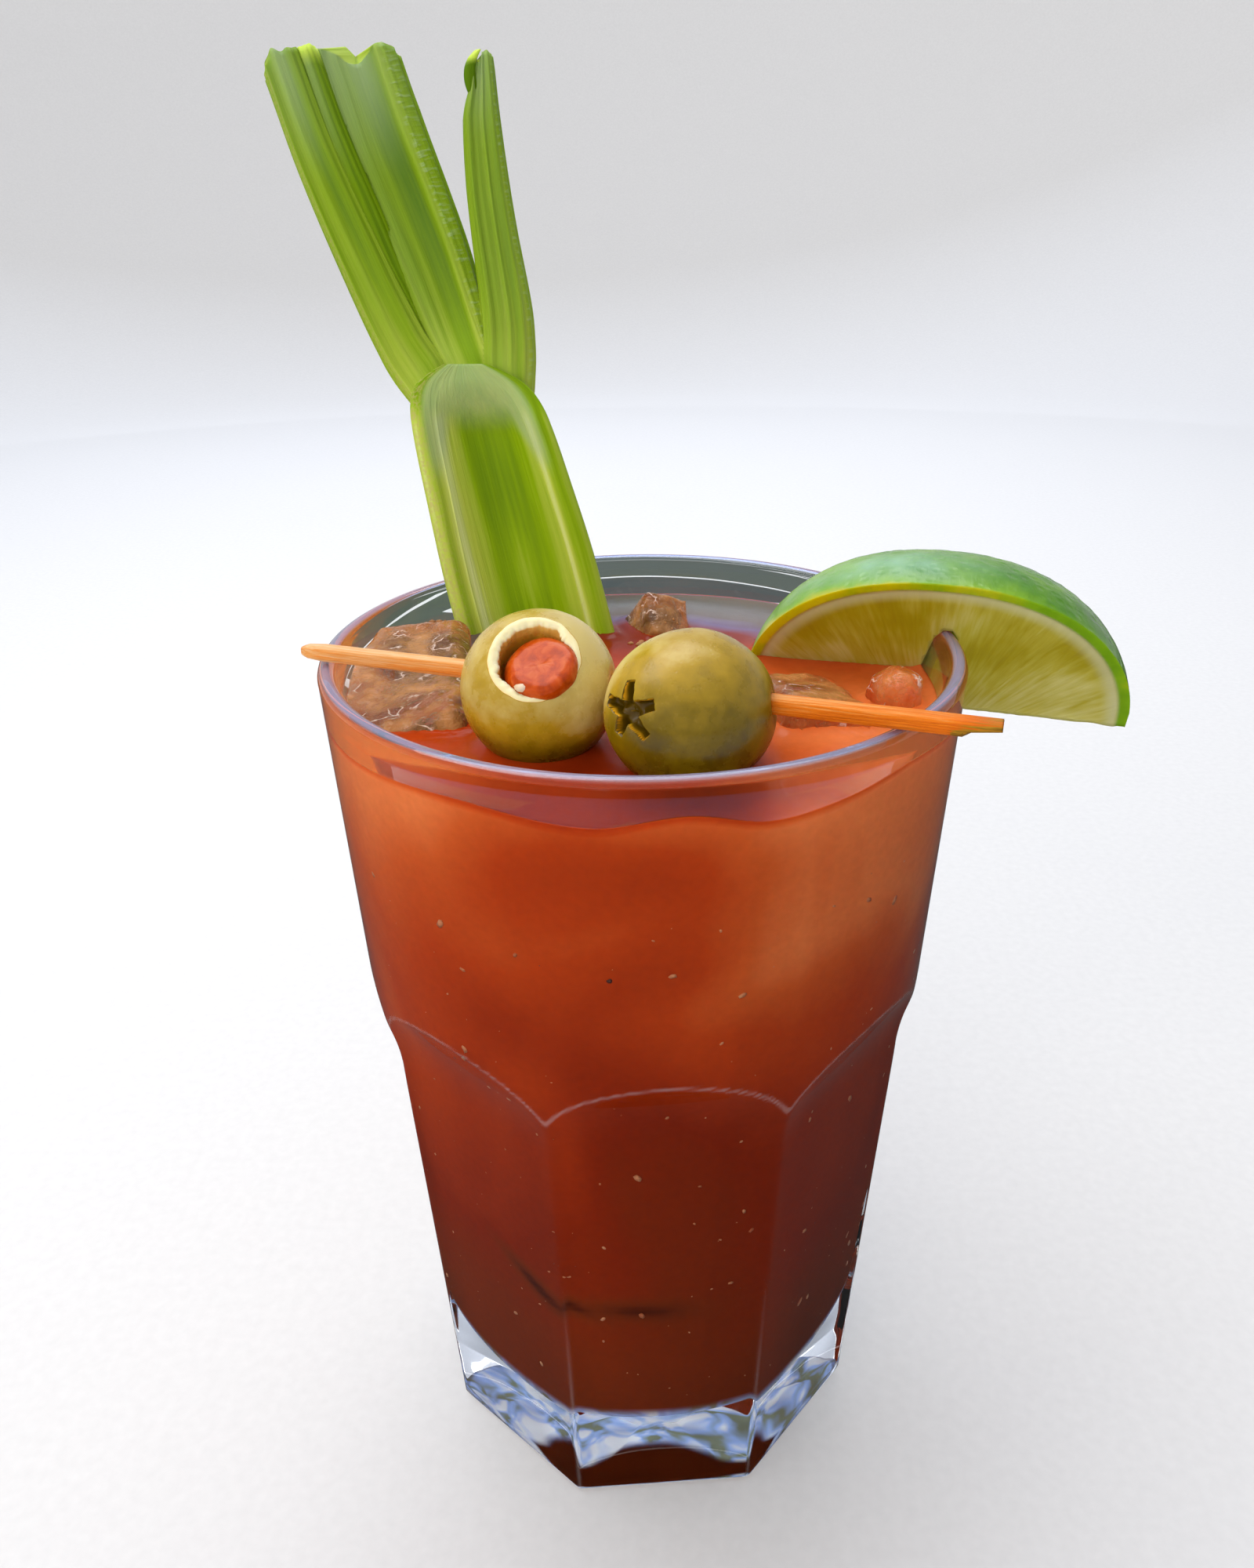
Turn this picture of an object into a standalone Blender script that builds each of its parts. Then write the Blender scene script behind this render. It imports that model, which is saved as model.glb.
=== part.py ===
"""A bloody mary in a tumbler with eight scooped facets, garnished with a celery stalk,
two olives on a wooden pick, a wedge of lime on the rim, and ice.

Lengths below are millimetres and angles degrees; meshes are made in metres.
+Z is up, the origin is the middle of the glass's underside, and -Y is the front.
"""
import math
import random

import bmesh
import bpy
from mathutils import Euler, Matrix, Vector

MM = 0.001
GAP = 0.3                    # clearance kept between two pieces that touch

# Glass
GLASS_HEIGHT = 126.1
RIM_RADIUS = 42.0
ROUND_TAPER = 0.05           # radius that the round body loses for each mm down
WALL_AT_LIP = 2.4
INNER_TAPER = 0.134          # radius that the hollow loses for each mm down
FLOOR_HEIGHT = 11.5          # top of the thick clear base
FLOOR_CORNER = 4.0
FACETS = 8
FACET_TURN = 4.2             # how far the front facet is turned from straight ahead
BASE_APOTHEM = 31.1
FACET_FLARE = 0.0566         # apothem that a facet gains for each mm up
SCOOP_START = 70.0           # above this height the facets curve out to the round body
SCOOP = 0.0193               # outward curve of that scoop, per mm squared
WAIST_START = 82.0           # below this height the round body curves in to the facets' edges
WAIST = 0.0085               # inward curve of the round body, per mm squared
FACET_CORNER = 2.2           # radius of the softened upright edges
BASE_CHAMFER = 1.0           # height of the slanted edge round the underside
BASE_CHAMFER_IN = 1.4        # how far that edge runs in
GLASS_SEGMENTS = 80
DRINK_SEGMENTS = 64

# Drink
DRINK_LEVEL = 119.3

# Celery: a stalk leaning on the back of the rim, its hollow side to the front
STALK_AT_RIM = Vector((-17.5, 23.3, 126.4))
STALK_LEAN = Vector((-0.252, 0.283, 1.0))
STALK_FOOT = -115.5          # along the stalk from the rim
STALK_NODE = 31.0            # where the stalk parts into three stems
STALK_WIDTHS = [(-116.0, 23.6), (0.0, 22.8), (15.0, 21.3), (25.0, 19.6), (28.5, 17.6), (30.5, 14.6),
                (32.0, 10.0), (33.0, 6.0)]
STALK_DEPTH = 8.4
TROUGH_DEPTH = 3.6
TROUGH_CLOSES = (23.0, 31.0) # where the hollow side gets shallower and ends
STALK_EDGE = 3.7             # thickness of the stalk's two edges
RIB_HEIGHT = 0.28
RIBS = 9
EDGE_ROUNDNESS = 0.6         # how far the two edges bulge, against a half circle
NODE_SKEW = -0.25            # the node sits lower on the right
SKEW_START = -5.0
STEM_HOLLOWS_OVER = 14.0     # length over which a stem's hollow front deepens
STEM_HOLLOW_SHARE = 0.72     # share of a stem's width that is hollow
STEM_RIBS = 10
STEM_RIB_SHARE = 0.05

# Olives and pick
PICK_LEFT = Vector((-43.2, -6.2, 0.0))
PICK_RIGHT = Vector((38.6, -33.1, 0.0))
PICK_WIDTH_LEFT = 1.9
PICK_WIDTH_RIGHT = 2.7
PICK_THICKNESS = 2.1
PICK_END_SLANT = 3.6
PICK_SQUARENESS = 0.6        # 1 is round, less is squarer
OLIVE_STEPS = 32
OLIVE_SHOULDER = 0.035       # how much fuller than an ellipsoid an olive is
HOLE_RADIUS = 4.3
HOLE_DEPTH = 7.4
PIMENTO_RADIUS = 3.5
PIMENTO_SUNK = 1.4           # how far its top sits below the olive's end
PIMENTO_TAPER = 0.68         # its ends against its middle
STAR_ARMS = 5
STAR_REACH = 3.1
STAR_ARM_WIDTH = 1.15
STAR_DEPTH = 1.7
STAR_TURN = 0.3              # radians
STAR_UNEVENNESS = 0.18

# Lime wedge
LIME_HALF_LENGTH = 26.5
LIME_RADIUS = 22.2
LIME_BLUNTNESS = 2.2         # 2 is an ellipse, more is squarer
LIME_CORE = Vector((40.6, 7.1, 112.9))
LIME_TURN = -13.5            # its length, turned from +X
LIME_DROOP = -2.0
LIME_LEAN = 22.0             # its front cut face leans towards the viewer
LIME_WEDGE_ANGLE = 60.0
LIME_CORE_FLAT = 1.1
LIME_TIP = 0.035             # share of a half turn left off at each tip

ICE_UNEVENNESS = 0.07        # how far a cube's corners wander, as a share of its size
ICE_SOFTNESS = 0.16          # width of its melted edges, as a share of its size


def material(name, colour, roughness, transmission=0.0):
    mat = bpy.data.materials.new(name)
    mat.use_nodes = True
    shader = mat.node_tree.nodes["Principled BSDF"]
    shader.inputs["Base Color"].default_value = (*colour, 1.0)
    shader.inputs["Roughness"].default_value = roughness
    shader.inputs["Metallic"].default_value = 0.0
    shader.inputs["Transmission Weight"].default_value = transmission
    mat.diffuse_color = (*colour, 1.0)
    return mat


def add_object(name, bm, mat=None):
    """Turns a bmesh in millimetres into a closed object in metres, faces outwards."""
    bmesh.ops.recalc_face_normals(bm, faces=bm.faces)
    bmesh.ops.scale(bm, vec=(MM, MM, MM), verts=bm.verts)
    mesh = bpy.data.meshes.new(name)
    bm.to_mesh(mesh)
    bm.free()
    if mat:
        mesh.materials.append(mat)
    mesh.shade_smooth()
    mesh.set_sharp_from_angle(angle=math.radians(35))
    obj = bpy.data.objects.new(name, mesh)
    bpy.context.scene.collection.objects.link(obj)
    return obj


def loft(name, rings, mat=None):
    """Skins a row of rings with the same number of points and closes both ends."""
    bm = bmesh.new()
    rows = [[bm.verts.new(p) for p in ring] for ring in rings]
    count = len(rings[0])
    for low, high in zip(rows, rows[1:]):
        for i in range(count):
            j = (i + 1) % count
            bm.faces.new((low[i], low[j], high[j], high[i]))
    bm.faces.new(rows[0])
    bm.faces.new(rows[-1])
    return add_object(name, bm, mat)


def turned(name, profile, steps, mat=None):
    """Turns a profile of (radius, height) points, both ends on the axis, about Z."""
    bm = bmesh.new()
    first = bm.verts.new((0.0, 0.0, profile[0][1]))
    last = bm.verts.new((0.0, 0.0, profile[-1][1]))
    rows = []
    for radius, height in profile[1:-1]:
        ring = []
        for i in range(steps):
            angle = math.tau * i / steps
            ring.append(bm.verts.new((radius * math.cos(angle), radius * math.sin(angle), height)))
        rows.append(ring)
    for i in range(steps):
        j = (i + 1) % steps
        bm.faces.new((first, rows[0][i], rows[0][j]))
        for low, high in zip(rows, rows[1:]):
            bm.faces.new((low[i], high[i], high[j], low[j]))
        bm.faces.new((last, rows[-1][j], rows[-1][i]))
    return add_object(name, bm, mat)


def combine(target, tool, operation):
    """Applies a Boolean of tool on target, and removes tool."""
    modifier = target.modifiers.new(operation, "BOOLEAN")
    modifier.operation = operation
    modifier.object = tool
    modifier.solver = "EXACT"
    depsgraph = bpy.context.evaluated_depsgraph_get()
    mesh = bpy.data.meshes.new_from_object(target.evaluated_get(depsgraph))
    target.modifiers.remove(modifier)
    old = target.data
    target.data = mesh
    bpy.data.meshes.remove(old)
    mesh.name = target.name
    remove(tool)


def remove(obj):
    mesh = obj.data
    bpy.data.objects.remove(obj)
    bpy.data.meshes.remove(mesh)


def grown(obj):
    """A copy of a piece that is larger by the clearance all round."""
    bm = bmesh.new()
    bm.from_mesh(obj.data)
    bm.normal_update()
    moves = [v.normal * (GAP * MM * v.calc_shell_factor()) for v in bm.verts]
    for vert, move in zip(bm.verts, moves):
        vert.co += move
    mesh = bpy.data.meshes.new(obj.name + "_grown")
    bm.to_mesh(mesh)
    bm.free()
    copy = bpy.data.objects.new(mesh.name, mesh)
    bpy.context.scene.collection.objects.link(copy)
    return copy


def arc(centre, radius, start, end, steps):
    """Points (x, y) along an arc, both ends included."""
    points = []
    for i in range(steps + 1):
        angle = math.radians(start + (end - start) * i / steps)
        points.append((centre[0] + radius * math.cos(angle), centre[1] + radius * math.sin(angle)))
    return points


def blend(a, b, share):
    return a + (b - a) * share


def ease(share):
    """0 to 1 with a soft start and end."""
    share = min(max(share, 0.0), 1.0)
    return share * share * (3 - 2 * share)


def along(stations, where):
    """Reads a row of (place, values...) stations at a place, in between as a smooth curve."""
    places = [s[0] for s in stations]
    where = min(max(where, places[0]), places[-1])
    k = max(i for i in range(len(places) - 1) if places[i] <= where)
    before, low = stations[max(k - 1, 0)], stations[k]
    high, after = stations[k + 1], stations[min(k + 2, len(stations) - 1)]
    width = high[0] - low[0]
    t = (where - low[0]) / width
    values = []
    for n in range(1, len(low)):
        slope_low = (high[n] - before[n]) / (high[0] - before[0]) * width
        slope_high = (after[n] - low[n]) / (after[0] - low[0]) * width
        values.append((2 * t**3 - 3 * t**2 + 1) * low[n] + (t**3 - 2 * t**2 + t) * slope_low
                      + (3 * t**2 - 2 * t**3) * high[n] + (t**3 - t**2) * slope_high)
    return values


# Glass and drink

def round_radius(height):
    waist = WAIST * max(0.0, WAIST_START - height) ** 2
    return RIM_RADIUS - ROUND_TAPER * (GLASS_HEIGHT - height) - waist


def hollow_radius(height):
    return RIM_RADIUS - WALL_AT_LIP - INNER_TAPER * (GLASS_HEIGHT - height)


def facet_apothem(height):
    scoop = SCOOP * max(0.0, height - SCOOP_START) ** 2
    return BASE_APOTHEM + FACET_FLARE * height + scoop


def hollow_profile(shrink, top):
    """The hollow from its floor's middle up to a height, pulled in by a clearance."""
    corner_height = FLOOR_HEIGHT + FLOOR_CORNER
    corner_centre = (hollow_radius(corner_height) - FLOOR_CORNER, corner_height)
    corner = arc(corner_centre, FLOOR_CORNER - shrink, -90, 0, 5)
    return [(0.0, FLOOR_HEIGHT + shrink), *corner, (hollow_radius(top) - shrink, top)]


def facet_ring(apothem, height):
    """One level of the eight-sided outside, with softened corners."""
    ring = []
    to_corner = 1 / math.cos(math.pi / FACETS)
    for k in range(FACETS):
        middle = math.radians(FACET_TURN - 90) + math.tau * (k + 0.5) / FACETS
        centre = (apothem - FACET_CORNER) * to_corner
        for step in range(4):
            angle = middle + math.tau / FACETS * (step / 3 - 0.5)
            ring.append(Vector((centre * math.cos(middle) + FACET_CORNER * math.cos(angle),
                                centre * math.sin(middle) + FACET_CORNER * math.sin(angle), height)))
    return ring


def make_glass(mat):
    lip = WALL_AT_LIP / 2
    lip_arc = arc((RIM_RADIUS - lip, GLASS_HEIGHT - lip), lip, 0, 180, 6)
    inside = hollow_profile(0.0, GLASS_HEIGHT - lip)
    foot_radius = round_radius(SCOOP_START)
    waist = [blend(SCOOP_START, WAIST_START, i / 5) for i in range(6)]
    profile = [(0.0, 0.0), (foot_radius, 0.0), *[(round_radius(z), z) for z in waist], *lip_arc,
               *reversed(inside[:-1])]
    body = turned("glass", profile, GLASS_SEGMENTS, mat)
    scoop_top = WAIST_START + 5.0
    heights = [BASE_CHAMFER] + [blend(SCOOP_START, scoop_top, i / 12) for i in range(13)]
    chamfer_slope = BASE_CHAMFER_IN / BASE_CHAMFER
    below = 0.4                  # the facets start and end clear of the turned body's ends
    rings = [facet_ring(facet_apothem(0) - BASE_CHAMFER_IN - below * chamfer_slope, -below)]
    rings += [facet_ring(facet_apothem(height), height) for height in heights]
    rings += [facet_ring(facet_apothem(scoop_top) + 12, GLASS_HEIGHT + 4)]
    combine(body, loft("facets", rings), "INTERSECT")
    return body


def make_drink(mat, neighbours):
    profile = hollow_profile(GAP, DRINK_LEVEL) + [(0.0, DRINK_LEVEL)]
    drink = turned("drink", profile, DRINK_SEGMENTS, mat)
    for piece in neighbours:
        combine(drink, grown(piece), "DIFFERENCE")
    return drink


# Celery

def stalk_frame():
    """Axes of the stalk: across it, up along it and towards its back."""
    up = STALK_LEAN.normalized()
    back = Vector((0.0, 1.0, -STALK_LEAN.y)).normalized()
    across = up.cross(back) * -1
    if across.x < 0:
        across = -across
    return across, up, back


def stalk_point(across_mm, up_mm, back_mm):
    across, up, back = stalk_frame()
    return STALK_AT_RIM + across * across_mm + up * up_mm + back * back_mm


def channel_outline(width, depth, trough, edge):
    """A channel's section as (across, back): ribbed outside, rounded edges, hollow front."""
    points = []
    outer_steps = RIBS * 3
    for i in range(outer_steps + 1):
        angle = math.pi * i / outer_steps
        ripple = RIB_HEIGHT * math.cos(math.tau * RIBS * i / outer_steps) * math.sin(angle)
        points.append((-(width / 2 + ripple) * math.cos(angle),
                       (depth + ripple) * math.sin(angle)))
    inner = width / 2 - edge
    for x, y in arc((width / 2 - edge / 2, 0), edge / 2, 0, -180, 4)[1:-1]:
        points.append((x, y * EDGE_ROUNDNESS))
    for i in range(11):
        angle = math.pi * i / 10
        points.append((inner * math.cos(angle), trough * math.sin(angle)))
    for x, y in arc((-width / 2 + edge / 2, 0), edge / 2, 0, -180, 4)[1:-1]:
        points.append((x, y * EDGE_ROUNDNESS))
    return points


def make_stalk(mat):
    levels = [STALK_FOOT, -60, -25, 0, 10, 17, 22, 25, 27, 29, 30.5, 32, 33]
    closes, ends = TROUGH_CLOSES
    rings = []
    for level in levels:
        width = along(STALK_WIDTHS, level)[0]
        open_share = 1 - ease((level - closes) / (ends - closes))
        skew = NODE_SKEW * ease((level - SKEW_START) / (STALK_NODE - SKEW_START))
        depth = STALK_DEPTH * blend(0.8, 1, open_share) * min(1, width / 16)
        outline = channel_outline(width, depth, TROUGH_DEPTH * open_share + 0.01, STALK_EDGE)
        rings.append([stalk_point(x, level + skew * x, y) for x, y in outline])
    return loft("celery", rings, mat)


# Each stem's stations: place up the stalk, middle across, how far back, width, thickness
LEFT_STEM = [(26.0, -4.9, 6.2, 5.0, 3.6), (30.0, -5.8, 5.0, 6.8, 5.0), (33.0, -6.6, 4.4, 7.6, 5.4),
             (38.2, -8.3, 3.6, 7.6, 5.6), (48.8, -10.4, 2.8, 7.2, 5.4), (65.7, -13.1, 2.0, 6.4, 5.0),
             (79.5, -14.3, 1.6, 5.8, 4.6)]
MIDDLE_STEM = [(28.5, 0.8, 5.8, 6.0, 4.0), (32.0, 0.6, 5.0, 8.2, 5.2), (38.0, -0.1, 4.6, 9.8, 5.8),
               (48.8, -1.2, 4.4, 11.4, 6.0), (56.4, -2.2, 4.6, 12.0, 5.9), (65.7, -3.4, 4.8, 12.4, 5.8),
               (77.0, -4.4, 5.2, 12.4, 5.4)]
RIGHT_STEM = [(23.5, 4.0, 6.4, 5.0, 3.6), (27.5, 4.9, 5.0, 6.6, 5.0), (31.0, 5.7, 4.2, 7.4, 5.6),
              (35.0, 6.8, 3.6, 7.4, 5.8), (39.5, 7.7, 3.0, 7.3, 5.8), (50.0, 8.8, 2.3, 6.5, 5.2),
              (57.0, 9.7, 2.0, 6.0, 4.8), (65.0, 11.1, 1.7, 5.1, 4.0), (70.5, 12.5, 1.6, 4.0, 3.2),
              (73.0, 13.3, 1.6, 2.4, 2.2)]
# Where the stems are cut off: place across, place up the stalk
CUT_ENDS = [(-17.2, 77.4), (-15.2, 80.3), (-13.6, 79.9), (-11.4, 80.2), (-9.6, 80.4), (-7.4, 79.4),
            (-5.0, 77.6), (-2.6, 78.2), (-0.4, 79.0), (1.4, 78.0), (2.6, 75.2), (10.0, 71.0),
            (12.4, 72.2), (14.0, 73.2), (15.4, 71.6)]


def stem_outline(width, thickness, hollow):
    """A stem's section as (across, back), ribbed, with a hollow in its front."""
    points = []
    steps = 24
    for i in range(steps):
        angle = math.tau * i / steps
        x, y = -math.cos(angle), math.sin(angle)
        ripple = 1 + STEM_RIB_SHARE * math.cos(STEM_RIBS * angle)
        front = -y if y < 0 else 0.0
        dip = hollow * front * max(0.0, 1 - (x / STEM_HOLLOW_SHARE) ** 2)
        points.append((x * width / 2 * ripple, y * thickness / 2 * ripple + dip))
    return points


def make_stem(name, stations, hollow):
    first, last = stations[0][0], stations[-1][0]
    rings = []
    count = 12
    for n in range(count):
        level = blend(first, last, n / (count - 1))
        middle, back, width, thickness = along(stations, level)
        rise = ease((level - first) / STEM_HOLLOWS_OVER)
        below, above = max(level - 1, first), min(level + 1, last)
        slope = (along(stations, above)[0] - along(stations, below)[0]) / (above - below)
        ring = []
        for x, y in stem_outline(width, thickness, hollow * rise):
            up = along(CUT_ENDS, middle + x)[0] if n == count - 1 else level - slope * x
            ring.append(stalk_point(middle + x, up, back + y))
        rings.append(ring)
    return loft(name, rings)


def make_celery(mat):
    stalk = make_stalk(mat)
    for name, stations, hollow in (("left_stem", LEFT_STEM, 0.6), ("middle_stem", MIDDLE_STEM, 2.2),
                                   ("right_stem", RIGHT_STEM, 0.9)):
        combine(stalk, make_stem(name, stations, hollow), "UNION")
    return stalk


# Pick and olives

def pick_frame():
    along_pick = (PICK_RIGHT - PICK_LEFT).normalized()
    side = Vector((0.0, 0.0, 1.0)).cross(along_pick)
    height = GLASS_HEIGHT + GAP + PICK_THICKNESS / 2
    return along_pick, side, Vector((0.0, 0.0, height))


def make_pick(name, mat, grow=0.0):
    along_pick, side, lift = pick_frame()
    length = (PICK_RIGHT - PICK_LEFT).length
    rings = []
    for place, size in ((-grow, 0.45), (0.8, 0.8), (3.0, 1.0), (length * 0.5, 1.0),
                        (length + grow, 1.0)):
        width = blend(PICK_WIDTH_LEFT, PICK_WIDTH_RIGHT, place / length) * size + 2 * grow
        thickness = PICK_THICKNESS * size + 2 * grow
        slant = PICK_END_SLANT if place > length * 0.9 else 0.0
        ring = []
        for i in range(12):
            angle = math.tau * (i + 0.5) / 12
            x = math.copysign(abs(math.cos(angle)) ** PICK_SQUARENESS, math.cos(angle)) * width / 2
            y = math.copysign(abs(math.sin(angle)) ** PICK_SQUARENESS, math.sin(angle)) * thickness / 2
            shift = slant * (y / thickness - 0.5)
            ring.append(PICK_LEFT + lift + along_pick * (place + shift) + side * x
                        + Vector((0.0, 0.0, y)))
        rings.append(ring)
    return loft(name, rings, mat)


OLIVES = {
    # centre, direction of the pitted end, half length, radius
    "olive_1": (Vector((-12.2, -17.6, 126.5)), Vector((-0.13, -0.68, 0.72)), 10.0, 9.4),
    "olive_2": (Vector((5.6, -24.7, 126.5)), Vector((-0.66, -0.72, 0.25)), 10.9, 9.3),
}


def olive_matrix(name):
    centre, pole, _, _ = OLIVES[name]
    return Matrix.Translation(centre) @ pole.to_track_quat("Z", "Y").to_matrix().to_4x4()


def make_olive(name, mat):
    """An olive as a slightly pointed ellipsoid about its own Z."""
    _, _, half_length, radius = OLIVES[name]
    place = olive_matrix(name)
    rows = OLIVE_STEPS // 2
    profile = []
    for i in range(rows + 1):
        angle = math.pi * i / rows
        full = (1 + OLIVE_SHOULDER * math.sin(angle) ** 2) / (1 + OLIVE_SHOULDER)
        profile.append((radius * full * math.sin(angle), -half_length * math.cos(angle)))
    obj = turned(name, profile, OLIVE_STEPS, mat)
    obj.data.transform(Matrix.Scale(MM, 4) @ place @ Matrix.Scale(1 / MM, 4))
    return obj


def plug(name, place, radius, low, high, steps, jitter, seed, round_off=1.0, mat=None):
    """A closed, slightly uneven cylinder about a place's own Z, its ends narrowed by a share."""
    rng = random.Random(seed)
    shape = [radius * (1 + rng.uniform(-jitter, jitter)) for _ in range(steps)]
    rings = []
    for height, share in ((low, round_off), (blend(low, high, 0.25), 1.0),
                          (blend(low, high, 0.75), 1.0), (high, round_off)):
        rings.append([place @ Vector((shape[i] * share * math.cos(math.tau * i / steps),
                                      shape[i] * share * math.sin(math.tau * i / steps), height))
                      for i in range(steps)])
    return loft(name, rings, mat)


def star_cutter(place, tip):
    """A star-shaped slit cut into an olive's end."""
    outline = []
    for arm in range(STAR_ARMS):
        angle = math.tau * arm / STAR_ARMS + STAR_TURN
        reach = STAR_REACH * (1 - STAR_UNEVENNESS + STAR_UNEVENNESS * math.cos(arm * 2.4))
        out = Vector((math.cos(angle), math.sin(angle)))
        side = Vector((-out.y, out.x)) * STAR_ARM_WIDTH / 2
        notch = math.tau * (arm + 0.5) / STAR_ARMS + STAR_TURN
        outline += [out * reach - side, out * reach + side,
                    Vector((math.cos(notch), math.sin(notch))) * STAR_ARM_WIDTH * 0.95]
    rings = []
    for height, share in ((tip - STAR_DEPTH, 0.75), (tip + 1.0, 1.08)):
        rings.append([place @ Vector((p.x * share, p.y * share, height)) for p in outline])
    return loft("star", rings)


# Lime

def lime_frame():
    """Axes of the wedge: along its core, towards its back, and up its front cut face."""
    turn, droop = math.radians(LIME_TURN), math.radians(LIME_DROOP)
    length = Vector((math.cos(turn) * math.cos(droop), math.sin(turn) * math.cos(droop),
                     math.sin(droop)))
    back = Vector((0.0, 0.0, 1.0)).cross(length).normalized()
    up = length.cross(back)
    lean = math.radians(LIME_LEAN)
    face_up = up * math.cos(lean) - back * math.sin(lean)
    return length, face_up.cross(length), face_up


def make_lime(mat):
    length, back, face_up = lime_frame()
    stations = 18
    rings = []
    for n in range(stations + 1):
        along_core = -math.cos(math.pi * blend(LIME_TIP, 1 - LIME_TIP, n / stations))
        half = abs(along_core) ** LIME_BLUNTNESS
        radius = LIME_RADIUS * (1 - half) ** (1 / LIME_BLUNTNESS)
        centre = LIME_CORE + length * (along_core * LIME_HALF_LENGTH)
        flat = min(LIME_CORE_FLAT, radius * 0.3)
        ring = []
        for angle, reach in [(0.0, flat)] + [(LIME_WEDGE_ANGLE * i / 9, radius) for i in range(10)] \
                + [(LIME_WEDGE_ANGLE, flat)]:
            turn = math.radians(angle)
            ring.append(centre + face_up * (reach * math.cos(turn)) + back * (reach * math.sin(turn)))
        rings.append(ring)
    return loft("lime_wedge", rings, mat)


def rim_cutter():
    """The upper wall of the glass with clearance all round, to slit the wedge."""
    low, high = 90.0, GLASS_HEIGHT + GAP
    steps = 96
    bm = bmesh.new()
    rows = []
    room = GAP * 1.4
    for radius, height in ((round_radius(low) + room, low), (RIM_RADIUS + room, GLASS_HEIGHT - 1),
                           (RIM_RADIUS - 0.6, high), (RIM_RADIUS - WALL_AT_LIP + 0.6, high),
                           (RIM_RADIUS - WALL_AT_LIP - room, GLASS_HEIGHT - 1),
                           (hollow_radius(low) - room, low)):
        rows.append([bm.verts.new((radius * math.cos(math.tau * i / steps),
                                   radius * math.sin(math.tau * i / steps), height))
                     for i in range(steps)])
    for one, two in zip(rows, rows[1:] + rows[:1]):
        for i in range(steps):
            j = (i + 1) % steps
            bm.faces.new((one[i], one[j], two[j], two[i]))
    return add_object("rim_cutter", bm)


# Ice

ICE = {
    # size, centre, tilts and turn, seed
    "ice_1": ((17.6, 28.5, 19.0), (-30.4, -0.6, 113.0), (7, -3, 6), 3),
    "ice_2": ((8.0, 7.6, 9.4), (2.1, 24.9, 118.7), (38, 22, 25), 8),
    "ice_3": ((12.4, 16.0, 18.0), (20.8, -7.8, 113.6), (-5, 6, 12), 5),
    "ice_4": ((6.4, 6.8, 13.0), (33.3, -7.2, 117.6), (4, -5, 30), 11),
}


def make_ice(name, mat):
    """A melted ice cube: a box with uneven corners and soft edges."""
    size, centre, tilts, seed = ICE[name]
    rng = random.Random(seed)
    bm = bmesh.new()
    bmesh.ops.create_cube(bm, size=1.0)
    for vert in bm.verts:
        vert.co += Vector([rng.uniform(-ICE_UNEVENNESS, ICE_UNEVENNESS) for _ in range(3)])
        vert.co = Vector([c * s for c, s in zip(vert.co, size)])
    bmesh.ops.bevel(bm, geom=bm.edges[:] + bm.verts[:], offset=min(size) * ICE_SOFTNESS, segments=2,
                    profile=0.5, affect="EDGES")
    bmesh.ops.triangulate(bm, faces=bm.faces)
    place = Matrix.Translation(centre) @ Euler([math.radians(a) for a in tilts]).to_matrix().to_4x4()
    bmesh.ops.transform(bm, matrix=place, verts=bm.verts)
    ice = add_object(name, bm, mat)
    inside = hollow_profile(GAP, GLASS_HEIGHT) + [(0.0, GLASS_HEIGHT)]
    hollow = turned("hollow", inside, DRINK_SEGMENTS)
    combine(ice, hollow, "INTERSECT")
    return ice


def build():
    for obj in list(bpy.data.objects):
        bpy.data.objects.remove(obj)

    glass_mat = material("clear_glass", (0.92, 0.95, 0.95), 0.03, 1.0)
    drink_mat = material("tomato_drink", (0.45, 0.10, 0.02), 0.25)
    celery_mat = material("celery_green", (0.25, 0.36, 0.04), 0.4)
    olive_mat = material("olive_green", (0.30, 0.27, 0.06), 0.3)
    pimento_mat = material("pimento_red", (0.55, 0.07, 0.01), 0.3)
    pick_mat = material("stained_wood", (0.75, 0.25, 0.05), 0.55)
    lime_mat = material("lime_green", (0.30, 0.42, 0.05), 0.35)
    ice_mat = material("ice_clear", (0.85, 0.62, 0.48), 0.08, 0.8)

    make_glass(glass_mat)
    celery = make_celery(celery_mat)
    ice = [make_ice(name, ice_mat) for name in ICE]
    lime = make_lime(lime_mat)
    olives = {name: make_olive(name, olive_mat) for name in OLIVES}
    make_drink(drink_mat, [celery, *ice, lime, *olives.values()])

    combine(lime, rim_cutter(), "DIFFERENCE")
    first_place, tip = olive_matrix("olive_1"), OLIVES["olive_1"][2]
    combine(olives["olive_1"], plug("hole", first_place, HOLE_RADIUS, tip - HOLE_DEPTH, tip + 1.0,
                                    16, 0.07, 4), "DIFFERENCE")
    plug("pimento", first_place @ Matrix.Translation((0.2, -0.2, 0)), PIMENTO_RADIUS,
         tip - HOLE_DEPTH + GAP, tip - PIMENTO_SUNK, 14, 0.05, 6, PIMENTO_TAPER, pimento_mat)
    second_tip = OLIVES["olive_2"][2]
    combine(olives["olive_2"], star_cutter(olive_matrix("olive_2"), second_tip), "DIFFERENCE")
    for olive in olives.values():
        combine(olive, make_pick("bore", None, GAP), "DIFFERENCE")
    make_pick("pick", pick_mat)


build()
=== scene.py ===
import math
import random

import bmesh
import bpy
import numpy as np
from mathutils import Euler, Matrix, Vector, noise
from mathutils.bvhtree import BVHTree
from mathutils.kdtree import KDTree


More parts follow.
